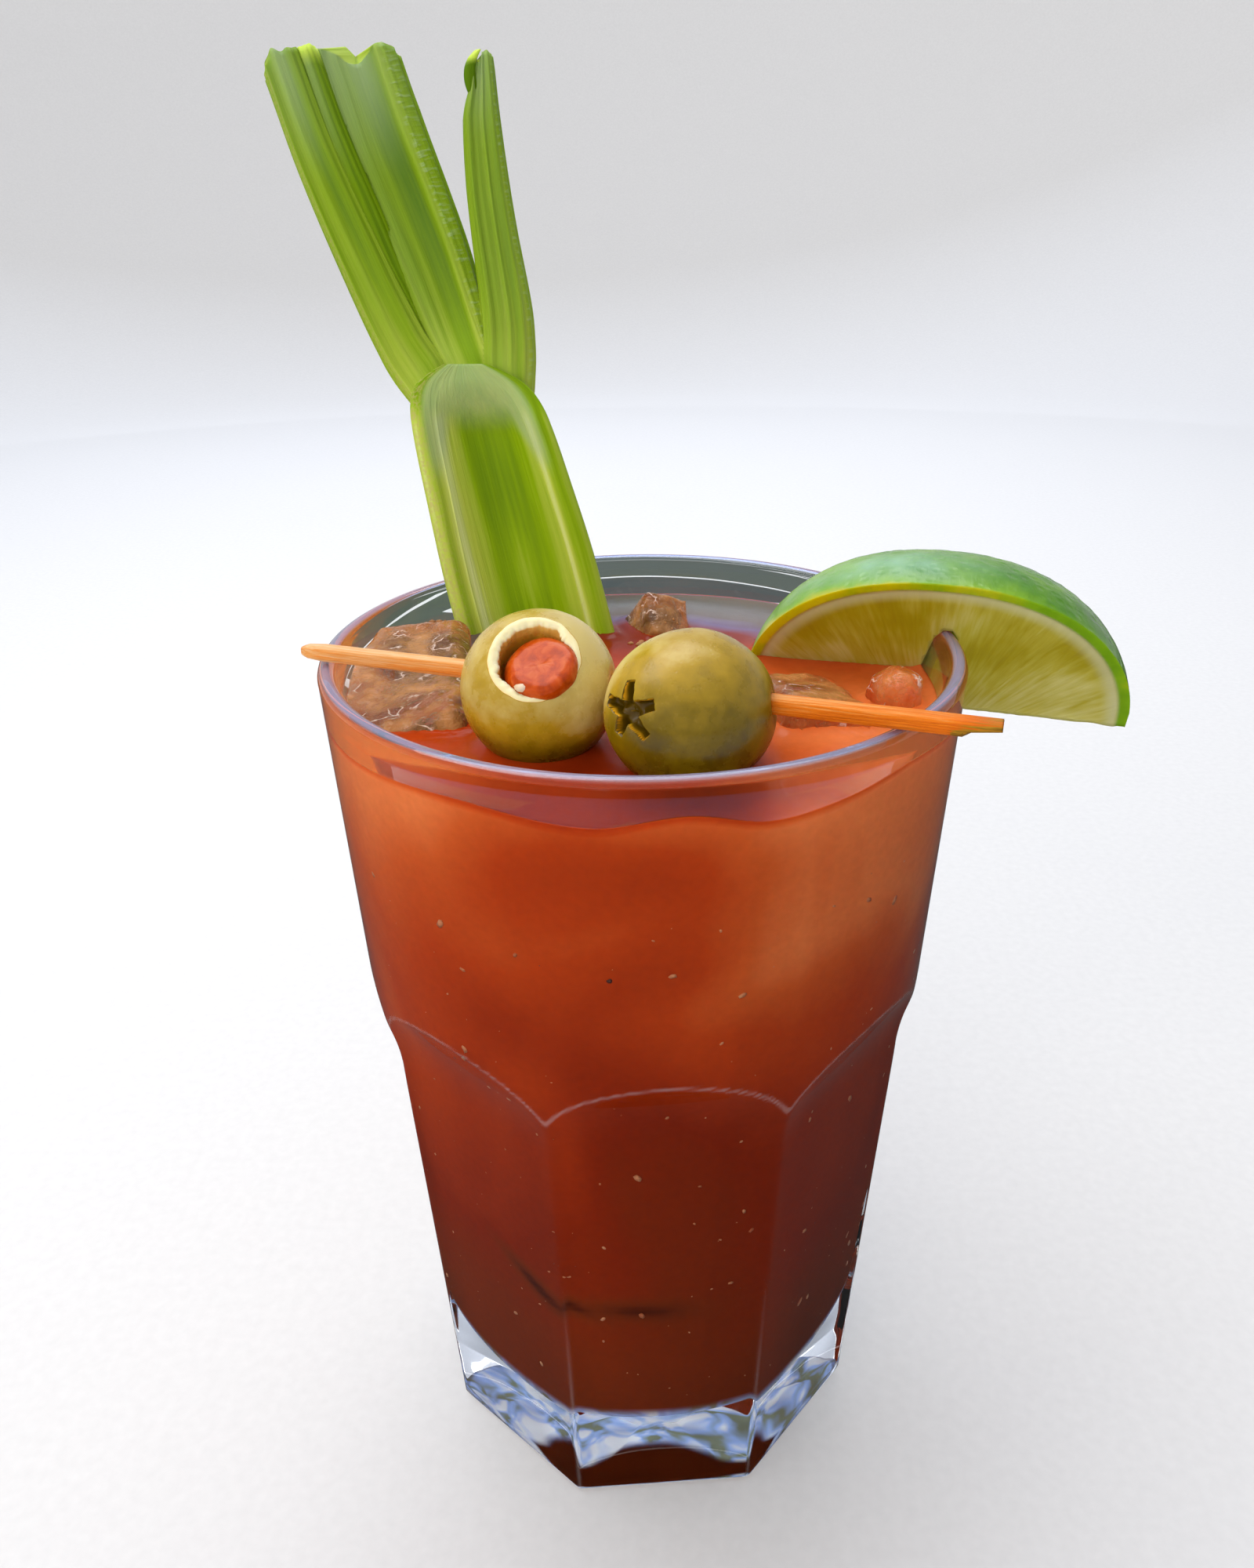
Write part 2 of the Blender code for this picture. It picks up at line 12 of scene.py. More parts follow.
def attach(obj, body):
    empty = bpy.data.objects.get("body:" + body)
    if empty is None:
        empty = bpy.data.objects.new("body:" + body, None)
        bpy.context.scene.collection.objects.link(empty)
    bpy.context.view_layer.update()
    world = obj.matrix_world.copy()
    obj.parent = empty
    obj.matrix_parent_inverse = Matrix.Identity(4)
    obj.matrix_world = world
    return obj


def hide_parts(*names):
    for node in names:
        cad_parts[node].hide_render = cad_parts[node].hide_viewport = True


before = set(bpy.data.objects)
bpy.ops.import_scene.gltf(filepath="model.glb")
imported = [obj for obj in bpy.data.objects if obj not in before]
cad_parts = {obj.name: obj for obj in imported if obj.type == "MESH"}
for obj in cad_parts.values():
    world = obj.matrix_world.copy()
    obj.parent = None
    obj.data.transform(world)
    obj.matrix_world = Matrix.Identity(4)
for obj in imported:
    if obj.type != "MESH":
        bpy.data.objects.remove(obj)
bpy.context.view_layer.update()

MM = 0.001

# Sizes of the part, as its source gives them
GLASS_HEIGHT = 126.1
RIM_RADIUS = 42.0
ROUND_TAPER = 0.05
WALL_AT_LIP = 2.4
INNER_TAPER = 0.134
FLOOR_HEIGHT = 11.5
FLOOR_CORNER = 4.0
CORNER_TOP = FLOOR_HEIGHT + FLOOR_CORNER
FACETS = 8
FACET_TURN = 4.2
BASE_APOTHEM = 31.1
FACET_FLARE = 0.0566
SCOOP_START = 70.0
SCOOP = 0.0193
WAIST_START = 82.0
WAIST = 0.0085
BASE_CHAMFER = 1.0
BASE_CHAMFER_IN = 1.4
DRINK_LEVEL = 119.3
STALK_AT_RIM = Vector((-17.5, 23.3, 126.4))
STALK_LEAN = Vector((-0.252, 0.283, 1.0))
STALK_FOOT = -115.5
STALK_NODE = 31.0
STALK_WIDTHS = [(-116.0, 23.6), (0.0, 22.8), (15.0, 21.3), (25.0, 19.6), (28.5, 17.6), (30.5, 14.6),
                (32.0, 10.0), (33.0, 6.0)]
STALK_DEPTH = 8.4
TROUGH_DEPTH = 3.6
TROUGH_CLOSES = (23.0, 31.0)
STALK_EDGE = 3.7
RIB_HEIGHT = 0.28
RIBS = 9
EDGE_ROUNDNESS = 0.6
NODE_SKEW = -0.25
SKEW_START = -5.0
PICK_LEFT = Vector((-43.2, -6.2, 0.0))
PICK_RIGHT = Vector((38.6, -33.1, 0.0))
PICK_WIDTH_LEFT = 1.9
PICK_WIDTH_RIGHT = 2.7
PICK_THICKNESS = 2.1
PICK_HEIGHT = GLASS_HEIGHT + 0.3 + PICK_THICKNESS / 2
PICK_SQUARENESS = 0.6
OLIVE_SHOULDER = 0.035
LIME_HALF_LENGTH = 26.5
LIME_RADIUS = 22.2
LIME_BLUNTNESS = 2.2
LIME_CORE = Vector((40.6, 7.1, 112.9))
LIME_TURN = -13.5
LIME_DROOP = -2.0
LIME_LEAN = 22.0
LIME_WEDGE_ANGLE = 60.0
LIME_CORE_FLAT = 1.1
LIME_TIP = 0.035
ICE_UNEVENNESS = 0.07

# How fine the finished meshes are
FACET_STEPS = 48             # columns across one facet of the glass
DRINK_STEPS = 288
INTO_WALL = 0.12             # how far the drink reaches into the glass, so that no air shows


# Small tools

def paint(code):
    """An sRGB colour such as "#C0602A" as linear RGBA."""
    values = []
    for i in (1, 3, 5):
        part = int(code[i:i + 2], 16) / 255
        values.append(part / 12.92 if part <= 0.04045 else ((part + 0.055) / 1.055) ** 2.4)
    return (*values, 1.0)


# The values between which most of a noise lies
NOISE_SPAN = {"From Min": 0.3, "From Max": 0.7}


def per(size):
    """How many of a pattern that is this many millimetres wide fit in a metre."""
    return 1 / (size * MM)


def blend(a, b, share):
    return a + (b - a) * share


def ease(share):
    """0 to 1 with a soft start and end, for numbers and arrays."""
    share = np.clip(share, 0.0, 1.0)
    return share * share * (3 - 2 * share)


def hump(x, middle, width):
    """A soft hump of height 1 about a middle."""
    return np.exp(-((x - middle) / width) ** 2)


def along(stations, where):
    """Reads a row of (place, values...) stations at a place, in between as a smooth curve."""
    places = [s[0] for s in stations]
    where = min(max(where, places[0]), places[-1])
    k = max(i for i in range(len(places) - 1) if places[i] <= where)
    before, low = stations[max(k - 1, 0)], stations[k]
    high, after = stations[k + 1], stations[min(k + 2, len(stations) - 1)]
    width = high[0] - low[0]
    t = (where - low[0]) / width
    values = []
    for n in range(1, len(low)):
        slope_low = (high[n] - before[n]) / (high[0] - before[0]) * width
        slope_high = (after[n] - low[n]) / (after[0] - low[0]) * width
        values.append((2 * t**3 - 3 * t**2 + 1) * low[n] + (t**3 - 2 * t**2 + t) * slope_low
                      + (3 * t**2 - 2 * t**3) * high[n] + (t**3 - t**2) * slope_high)
    return values


def rough(points, size, seed=0.0):
    """Smooth noise from -1 to 1 at points in millimetres, its waves about size wide."""
    shift = Vector((seed * 17.3, seed * 5.1, seed * 9.7))
    return np.array([noise.noise(Vector(p) / size + shift) for p in points])


def add(tree, kind, inputs=None, stops=None, **settings):
    """Adds one node: its settings, its colour stops, and its inputs.

    An input is a value, the output that it comes from, or a node, whose first output is meant.
    """
    node = tree.nodes.new(kind)
    for name, value in settings.items():
        setattr(node, name, value)
    for i, (place, code) in enumerate(stops or []):
        elements = node.color_ramp.elements
        element = elements[i] if i < 2 else elements.new(place)
        element.position, element.color = place, paint(code)
    for key, value in (inputs or {}).items():
        if isinstance(value, bpy.types.Node):
            value = value.outputs[0]
        if isinstance(value, bpy.types.NodeSocket):
            tree.links.new(value, node.inputs[key])
        else:
            node.inputs[key].default_value = value
    return node


def new_material(name):
    material = bpy.data.materials.new(name)
    material.use_nodes = True
    material.node_tree.nodes.clear()
    return material, material.node_tree


def finish_clear(material, shader, code):
    """Ends a clear material, which lets tinted light pass where it would cast a shadow."""
    tree = material.node_tree
    clear = add(tree, "ShaderNodeBsdfTransparent", {"Color": paint(code)})
    shadow = add(tree, "ShaderNodeLightPath").outputs["Is Shadow Ray"]
    both = add(tree, "ShaderNodeMixShader", {0: shadow, 1: shader, 2: clear})
    add(tree, "ShaderNodeOutputMaterial", {"Surface": both})
    return material


def new_group(name, sockets, result):
    """A Geometry Nodes tree with its named inputs and one result, and what it is given."""
    tree = bpy.data.node_groups.new(name, "GeometryNodeTree")
    tree.is_modifier = True
    for socket, kind in sockets.items():
        tree.interface.new_socket(socket, in_out="INPUT", socket_type="NodeSocket" + kind)
    tree.interface.new_socket(result, in_out="OUTPUT", socket_type="NodeSocketGeometry")
    return tree, add(tree, "NodeGroupInput").outputs


def finish_group(tree, geometry, material):
    """Ends a Geometry Nodes tree with real geometry in one material."""
    whole = add(tree, "GeometryNodeRealizeInstances", {0: geometry})
    finished = add(tree, "GeometryNodeSetMaterial", {"Geometry": whole, "Material": material})
    add(tree, "NodeGroupOutput", {0: finished})
    return tree


def new_object(name, data):
    obj = bpy.data.objects.new(name, data)
    bpy.context.scene.collection.objects.link(obj)
    return obj


def mesh_from(name, bm):
    """A new mesh of what a bmesh holds, which is then freed."""
    mesh = bpy.data.meshes.new(name)
    bm.to_mesh(mesh)
    bm.free()
    return mesh


def write_mark(mesh, name, values):
    """Stores one value or vector a point on a mesh."""
    values = np.asarray(values, np.float32)
    kind, field = ("FLOAT", "value") if values.ndim == 1 else ("FLOAT_VECTOR", "vector")
    mesh.attributes.new(name, kind, "POINT").data.foreach_set(field, values.ravel())


def turns(count):
    """The angles of points spread evenly round a circle."""
    return math.tau * np.arange(count) / count


def round_ring(radius, height, angles):
    """Points round an upright axis; their radius and height may be one number or one each."""
    height = np.broadcast_to(height, angles.shape)
    return np.stack([radius * np.cos(angles), radius * np.sin(angles), height], 1)


def add_piece(name, points, faces, materials, marks=None):
    """A closed piece from points in millimetres, with one value or vector a point for each mark."""
    mesh = bpy.data.meshes.new(name)
    mesh.from_pydata((np.asarray(points, float) * MM).tolist(), [], faces)
    for mark, values in (marks or {}).items():
        write_mark(mesh, mark, values)
    bm = bmesh.new()
    bm.from_mesh(mesh)
    bmesh.ops.recalc_face_normals(bm, faces=bm.faces)
    bm.to_mesh(mesh)
    bm.free()
    for material in materials:
        mesh.materials.append(material)
    mesh.shade_smooth()
    return new_object(name, mesh)


def tube_faces(rows, count):
    """The faces between rings with equal counts."""
    j = np.arange(count)
    k = (j + 1) % count
    faces = []
    for row in range(rows - 1):
        low, high = row * count, (row + 1) * count
        faces += np.stack([low + j, low + k, high + k, high + j], 1).tolist()
    return faces


def skin(rings, flat_ends=False):
    """Points and faces of a tube through rings with equal counts, its ends closed.

    The ends close to a point in their middle, or as one flat face each.
    """
    rings = np.asarray(rings, float)
    rows, count, _ = rings.shape
    points = np.vstack([rings.reshape(-1, 3), rings[0].mean(0), rings[-1].mean(0)])
    first, last = rows * count, rows * count + 1
    j = np.arange(count)
    k = (j + 1) % count
    faces = tube_faces(rows, count)
    top = (rows - 1) * count
    if flat_ends:
        return points[:first], faces + [j[::-1].tolist(), (top + j).tolist()]
    faces += np.stack([k, j, np.full(count, first)], 1).tolist()
    faces += np.stack([top + j, top + k, np.full(count, last)], 1).tolist()
    return points, faces


def skin_marks(rings_of_marks):
    """The values of skin()'s points for one mark, given ring by ring."""
    values = np.asarray(rings_of_marks, float)
    flat = values.reshape(-1, *values.shape[2:])
    return np.concatenate([flat, values[0].mean(0)[None], values[-1].mean(0)[None]])


def make_plain(obj):
    """Keeps what an object's modifiers make of it as its own mesh."""
    graph = bpy.context.evaluated_depsgraph_get()
    mesh = bpy.data.meshes.new_from_object(obj.evaluated_get(graph))
    obj.modifiers.clear()
    obj.data = mesh
    mesh.name = obj.name
    return obj


def combine(target, tool, operation):
    """Applies a Boolean of tool on target, and removes tool."""
    modifier = target.modifiers.new(operation, "BOOLEAN")
    modifier.operation, modifier.object, modifier.solver = operation, tool, "EXACT"
    make_plain(target)
    bpy.data.objects.remove(tool)
    return target


def run_tree(obj, tree, values):
    """Runs a Geometry Nodes tree on an object with named inputs, and keeps the result."""
    modifier = obj.modifiers.new(tree.name, "NODES")
    modifier.node_group = tree
    for item in tree.interface.items_tree:
        if item.item_type == "SOCKET" and item.in_out == "INPUT" and item.name in values:
            modifier[item.identifier] = values[item.name]
    return make_plain(obj)


def points_of(obj):
    """An object's points in millimetres."""
    flat = np.empty(len(obj.data.vertices) * 3)
    obj.data.vertices.foreach_get("co", flat)
    return flat.reshape(-1, 3) / MM


def move_points(obj, points):
    obj.data.vertices.foreach_set("co", (np.asarray(points) * MM).ravel())
    obj.data.update()


def normals_of(obj):
    return np.array([v.normal for v in obj.data.vertices])


def set_mark(obj, name, values):
    """Stores a mark on a finished piece, in place of an older one of that name."""
    old = obj.data.attributes.get(name)
    if old:
        obj.data.attributes.remove(old)
    write_mark(obj.data, name, values)


def surface_tree(piece):
    """A piece's faces in millimetres, as a tree that is searched for the nearest or the first."""
    return BVHTree.FromPolygons([tuple(v) for v in points_of(piece)],
                                [tuple(p.vertices) for p in piece.data.polygons])


# Materials

def pressed_glass():
    # Pressed soda-lime glass: clear with a hard gloss and the faint waves that its mould leaves.
    # Painted highlights: thin pale lines where its facets meet and at the top of the foot's
    # chamfer, and a cool lavender highlight painted along its lip
    material, tree = new_material("pressed_glass")
    place = add(tree, "ShaderNodeTexCoord").outputs["Object"]
    waves = add(tree, "ShaderNodeTexNoise", {"Vector": place, "Scale": per(16), "Detail": 1.0})
    bump = add(tree, "ShaderNodeBump", {"Height": waves, "Strength": 0.25, "Distance": 0.0007})
    smears = add(tree, "ShaderNodeTexNoise", {"Vector": place, "Scale": per(9), "Detail": 3.0})
    haze = add(tree, "ShaderNodeMapRange", {
        "Value": smears, "From Min": 0.45, "From Max": 0.8, "To Max": 0.05})
    crease = add(tree, "ShaderNodeAttribute", attribute_name="crease").outputs["Fac"]
    height = add(tree, "ShaderNodeSeparateXYZ", {0: place}).outputs["Z"]
    # A painted lavender highlight in the top of the lip
    lip = add(tree, "ShaderNodeMapRange", {
        "Value": height, "From Min": (GLASS_HEIGHT - 0.34) * MM,
        "From Max": (GLASS_HEIGHT - 0.1) * MM})
    # A painted pale highlight line at the top of the foot's chamfer
    foot = add(tree, "ShaderNodeMath", {
        0: height, 1: BASE_CHAMFER * MM, 2: 0.14 * MM}, operation="COMPARE")
    # Where highlights are painted, the glass is less clear and shows its pale tint
    frosted = add(tree, "ShaderNodeMath", {0: lip, 1: 2.0}, operation="MULTIPLY")
    frosted = add(tree, "ShaderNodeMath", {0: frosted, 1: crease}, operation="ADD")
    frosted = add(tree, "ShaderNodeMath", {0: frosted, 1: foot}, operation="ADD")
    clearness = add(tree, "ShaderNodeMapRange", {
        "Value": frosted, "To Min": 1.0, "To Max": 0.85}, clamp=False)
    tint = add(tree, "ShaderNodeMix", {
        0: lip, 6: paint("#F4F8F8"), 7: paint("#CED6FC")}, data_type="RGBA")
    glass = add(tree, "ShaderNodeBsdfPrincipled", {
        "Base Color": tint.outputs[2], "Roughness": haze, "IOR": 1.5,
        "Transmission Weight": clearness, "Normal": bump})
    return finish_clear(material, glass, "#F4F8F8")


def tomato_juice(name, wet):
    # Strained tomato juice with spirit: opaque, darker towards the bottom in painted shade, and
    # cloudy with fine pulp. Its underside carries a painted pale glow, partly emitted as light,
    # where the thick glass base shows it, and its far edge carries a painted grey reflection of
    # the glass wall above it.
    material, tree = new_material(name)
    place = add(tree, "ShaderNodeTexCoord").outputs["Object"]
    height = add(tree, "ShaderNodeSeparateXYZ", {0: place}).outputs["Z"]
    # Painted shade: the juice darkens from its surface down to the floor of the glass
    level = add(tree, "ShaderNodeMapRange", {
        "Value": height, "From Min": FLOOR_HEIGHT * MM, "From Max": DRINK_LEVEL * MM,
        "To Min": 0.2})
    drift = add(tree, "ShaderNodeMapping", {
        "Vector": place, "Scale": (1.0, 1.0, 0.55), "Rotation": (0.0, 0.5, 0.0)})
    clouds = add(tree, "ShaderNodeTexNoise", {
        "Vector": drift, "Scale": per(22), "Detail": 2.0, "Roughness": 0.45, "Distortion": 0.6})
    cloudy = add(tree, "ShaderNodeMapRange", {
        "Value": clouds, **NOISE_SPAN, "To Min": -0.07, "To Max": 0.07})
    shade, glow, wall = (add(tree, "ShaderNodeAttribute", attribute_name=mark).outputs["Fac"]
                         for mark in ("shade", "glow", "wall"))
    first = add(tree, "ShaderNodeMath", {0: level, 1: cloudy}, operation="ADD")
    tone = add(tree, "ShaderNodeMath", {0: first, 1: shade}, operation="ADD")
    colour = add(tree, "ShaderNodeValToRGB", {0: tone}, stops=[
        (0.0, "#340A02"), (1.0, "#E67C42"), (0.2, "#6A2609"), (0.34, "#782808"), (0.52, "#842204"),
        (0.66, "#9A2E0A"), (0.8, "#B43E10"), (0.9, "#CC5A24")])
    pulp = add(tree, "ShaderNodeTexNoise", {"Vector": place, "Scale": per(1.1), "Detail": 2.0})
    grain = add(tree, "ShaderNodeMapRange", {
        "Value": pulp, "From Min": 0.3, "From Max": 0.75, "To Min": 0.95, "To Max": 1.05})
    shown = add(tree, "ShaderNodeVectorMath", {0: colour, "Scale": grain}, operation="SCALE")
    patches = add(tree, "ShaderNodeTexNoise", {
        "Vector": place, "Scale": per(7), "Detail": 2.0, "Distortion": 0.8})
    pale = add(tree, "ShaderNodeValToRGB", {0: patches}, stops=[
        (0.36, "#84907C"), (0.6, "#F0F6FF"), (0.48, "#A4C4FF")])
    # The painted pale glow on the underside
    lit = add(tree, "ShaderNodeMix", {0: glow, 6: shown, 7: pale}, data_type="RGBA")
    # The painted grey reflection of the far glass wall
    grey = add(tree, "ShaderNodeValToRGB", {0: wall}, stops=[
        (0.3, "#84302C"), (1.0, "#64665C"), (0.5, "#746A8C"), (0.68, "#60584E")])
    seen = add(tree, "ShaderNodeMapRange", {"Value": wall, "To Max": 0.85, "From Max": 0.3})
    lit = add(tree, "ShaderNodeMix", {0: seen, 6: lit.outputs[2], 7: grey}, data_type="RGBA")
    bump = add(tree, "ShaderNodeBump", {"Height": pulp, "Strength": 0.2, "Distance": 0.0002})
    # Part of the painted glow is emitted as light
    thrown = add(tree, "ShaderNodeMath", {0: glow, 1: 0.6}, operation="MULTIPLY")
    juice = add(tree, "ShaderNodeBsdfPrincipled", {
        "Base Color": lit.outputs[2], "Roughness": 0.16 if wet else 0.6, "IOR": 1.34,
        "Specular IOR Level": 0.16 if wet else 0.0, "Subsurface Weight": 0.2,
        "Subsurface Radius": (1.0, 0.3, 0.1), "Subsurface Scale": 0.003, "Emission Color": pale,
        "Emission Strength": thrown, "Normal": bump})
    add(tree, "ShaderNodeOutputMaterial", {"Surface": juice})
    return material


def celery_flesh():
    # Fresh celery: waxy green skin with long strings, paler in its bands and at the cut ends,
    # with a painted bluish sheen on its pale panel and the fronts of its stems
    material, tree = new_material("fresh_celery")
    grain = add(tree, "ShaderNodeAttribute", attribute_name="grain").outputs["Vector"]
    pale, leafy, blush, cut, wrinkle, bloom = (
        add(tree, "ShaderNodeAttribute", attribute_name=mark).outputs["Fac"]
        for mark in ("pale", "leafy", "blush", "cut", "wrinkle", "bloom"))
    long_ways = add(tree, "ShaderNodeMapping", {"Vector": grain, "Scale": (1.0, 1.0, 0.035)})
    strings = add(tree, "ShaderNodeTexNoise", {
        "Vector": long_ways, "Scale": 1.5, "Detail": 3.0, "Roughness": 0.6})
    broad = add(tree, "ShaderNodeTexNoise", {"Vector": long_ways, "Scale": 0.45, "Detail": 1.0})
    streak = add(tree, "ShaderNodeMapRange", {
        "Value": strings, **NOISE_SPAN, "To Min": -0.07, "To Max": 0.07})
    wide = add(tree, "ShaderNodeMapRange", {
        "Value": broad, **NOISE_SPAN, "To Min": -0.1, "To Max": 0.1})
    both = add(tree, "ShaderNodeMath", {0: streak, 1: wide}, operation="ADD")
    tone = add(tree, "ShaderNodeMath", {0: both, 1: pale}, operation="ADD")
    stalk = add(tree, "ShaderNodeValToRGB", {0: tone}, stops=[
        (0.0, "#5E8000"), (1.0, "#D6E096"), (0.3, "#84A400"), (0.65, "#B4C448")])
    stem = add(tree, "ShaderNodeValToRGB", {0: tone}, stops=[
        (0.0, "#4C6E00"), (1.0, "#B0C484"), (0.35, "#789600"), (0.7, "#94AC30")])
    green = add(tree, "ShaderNodeMix", {0: leafy, 6: stalk, 7: stem}, data_type="RGBA")
    # The painted bluish sheen
    waxy = add(tree, "ShaderNodeMath", {0: bloom, 1: 0.6}, operation="MULTIPLY")
    green = add(tree, "ShaderNodeMix", {
        0: waxy, 6: green.outputs[2], 7: paint("#A2B68C")}, data_type="RGBA")
    freckles = add(tree, "ShaderNodeTexNoise", {"Vector": grain, "Scale": 2.2, "Detail": 3.0})
    spots = add(tree, "ShaderNodeMapRange", {
        "Value": freckles, "From Min": 0.42, "From Max": 0.62, "To Max": 0.6})
    pink = add(tree, "ShaderNodeMath", {0: spots, 1: blush}, operation="MULTIPLY")
    blushed = add(tree, "ShaderNodeMix", {
        0: pink, 6: green.outputs[2], 7: paint("#B4A468")}, data_type="RGBA")
    across = add(tree, "ShaderNodeMapping", {"Vector": grain, "Scale": (0.4, 0.4, 1.9)})
    folds = add(tree, "ShaderNodeTexNoise", {"Vector": across, "Scale": 1.0, "Detail": 2.0})
    whitish = add(tree, "ShaderNodeMapRange", {
        "Value": folds, "From Min": 0.5, "From Max": 0.72, "To Max": 0.26})
    whitish = add(tree, "ShaderNodeMath", {
        0: whitish, 1: wrinkle}, operation="MULTIPLY", use_clamp=True)
    lined = add(tree, "ShaderNodeMix", {
        0: whitish, 6: blushed.outputs[2], 7: paint("#C4D6BC")}, data_type="RGBA")
    shown = add(tree, "ShaderNodeMix", {
        0: cut, 6: lined.outputs[2], 7: paint("#C4DC50")}, data_type="RGBA")
    fold = add(tree, "ShaderNodeMath", {0: folds, 1: wrinkle}, operation="MULTIPLY")
    relief = add(tree, "ShaderNodeMath", {0: fold, 1: strings}, operation="ADD")
    bump = add(tree, "ShaderNodeBump", {"Height": relief, "Strength": 0.5, "Distance": 0.0004})
    skin_shader = add(tree, "ShaderNodeBsdfPrincipled", {
        "Base Color": shown.outputs[2], "Roughness": 0.42, "IOR": 1.36, "Specular IOR Level": 0.2,
        "Subsurface Weight": 0.15, "Subsurface Radius": (0.6, 1.0, 0.1), "Subsurface Scale": 0.002,
        "Normal": bump})
    add(tree, "ShaderNodeOutputMaterial", {"Surface": skin_shader})
    return material


def olive_skin():
    # A green olive in brine: smooth wet skin over firm flesh, cream where it is cut. The skin
    # carries painted shade towards its underside and painted light on its top and one flank
    material, tree = new_material("brined_olive")
    place = add(tree, "ShaderNodeTexCoord").outputs["Object"]
    ripe, flesh = (add(tree, "ShaderNodeAttribute", attribute_name=mark).outputs["Fac"]
                   for mark in ("ripe", "flesh"))
    mottle = add(tree, "ShaderNodeTexNoise", {
        "Vector": place, "Scale": per(4), "Detail": 4.0, "Roughness": 0.6})
    spread = add(tree, "ShaderNodeMapRange", {
        "Value": mottle, **NOISE_SPAN, "To Min": -0.14, "To Max": 0.14})
    tone = add(tree, "ShaderNodeMath", {0: ripe, 1: spread}, operation="ADD")
    green = add(tree, "ShaderNodeValToRGB", {0: tone}, stops=[
        (0.0, "#3C2C00"), (1.0, "#D2BC70"), (0.35, "#786200"), (0.7, "#B08E1C")])
    inside = add(tree, "ShaderNodeValToRGB", {0: flesh}, stops=[
        (0.0, "#443200"), (1.0, "#F0E8BC"), (0.2, "#6C5204"), (0.45, "#F0B020"),
        (0.75, "#E4C468")])
    is_cut = add(tree, "ShaderNodeMath", {0: flesh, 1: 0.02}, operation="GREATER_THAN")
    shown = add(tree, "ShaderNodeMix", {0: is_cut, 6: green, 7: inside}, data_type="RGBA")
    dots = add(tree, "ShaderNodeTexVoronoi", {"Vector": place, "Scale": per(0.7)})
    dot = add(tree, "ShaderNodeMapRange", {"Value": dots, "From Min": 0.05, "From Max": 0.3})
    relief = add(tree, "ShaderNodeMath", {0: dot, 1: mottle}, operation="ADD")
    bump = add(tree, "ShaderNodeBump", {"Height": relief, "Strength": 0.12, "Distance": 0.0003})
    shine = add(tree, "ShaderNodeMapRange", {
        "Value": mottle, **NOISE_SPAN, "To Min": 0.22, "To Max": 0.36})
    shader = add(tree, "ShaderNodeBsdfPrincipled", {
        "Base Color": shown.outputs[2], "Roughness": shine, "IOR": 1.42, "Subsurface Weight": 0.2,
        "Subsurface Radius": (1.0, 0.7, 0.15), "Subsurface Scale": 0.003, "Normal": bump})
    add(tree, "ShaderNodeOutputMaterial", {"Surface": shader})
    return material


def pimento_flesh():
    # Pickled red pepper: soft, wet and bright, with fine wrinkles
    material, tree = new_material("pickled_pimento")
    place = add(tree, "ShaderNodeTexCoord").outputs["Object"]
    fibres = add(tree, "ShaderNodeTexNoise", {
        "Vector": place, "Scale": per(1.6), "Detail": 4.0, "Roughness": 0.55, "Distortion": 0.5})
    colour = add(tree, "ShaderNodeValToRGB", {0: fibres}, stops=[
        (0.3, "#9A3404"), (0.72, "#D06428"), (0.5, "#BE4808")])
    bump = add(tree, "ShaderNodeBump", {"Height": fibres, "Strength": 0.3, "Distance": 0.0003})
    shader = add(tree, "ShaderNodeBsdfPrincipled", {
        "Base Color": colour, "Roughness": 0.2, "IOR": 1.4, "Specular IOR Level": 0.3,
        "Subsurface Weight": 0.2, "Subsurface Radius": (1.0, 0.3, 0.1), "Subsurface Scale": 0.003,
        "Normal": bump})
    add(tree, "ShaderNodeOutputMaterial", {"Surface": shader})
    return material


def stained_wood():
    # A split bamboo pick, stained orange: straight fibres, paler where the stain is thin
    material, tree = new_material("stained_bamboo")
    grain = add(tree, "ShaderNodeAttribute", attribute_name="grain").outputs["Vector"]
    stain = add(tree, "ShaderNodeAttribute", attribute_name="stain").outputs["Fac"]
    long_ways = add(tree, "ShaderNodeMapping", {"Vector": grain, "Scale": (1.0, 1.0, 0.03)})
    fibres = add(tree, "ShaderNodeTexNoise", {
        "Vector": long_ways, "Scale": 4.5, "Detail": 4.0, "Roughness": 0.65})
    spread = add(tree, "ShaderNodeMapRange", {
        "Value": fibres, **NOISE_SPAN, "To Min": -0.2, "To Max": 0.2})
    tone = add(tree, "ShaderNodeMath", {0: stain, 1: spread}, operation="ADD")
    colour = add(tree, "ShaderNodeValToRGB", {0: tone}, stops=[
        (0.0, "#F8CC98"), (1.0, "#7A5408"), (0.3, "#F0A050"), (0.52, "#EC7A08"), (0.72, "#D86400"),
        (0.86, "#B08014")])
    bump = add(tree, "ShaderNodeBump", {"Height": fibres, "Strength": 0.8, "Distance": 0.0004})
    shader = add(tree, "ShaderNodeBsdfPrincipled", {
        "Base Color": colour, "Roughness": 0.5, "IOR": 1.5, "Specular IOR Level": 0.2,
        "Normal": bump})
    add(tree, "ShaderNodeOutputMaterial", {"Surface": shader})
    return material


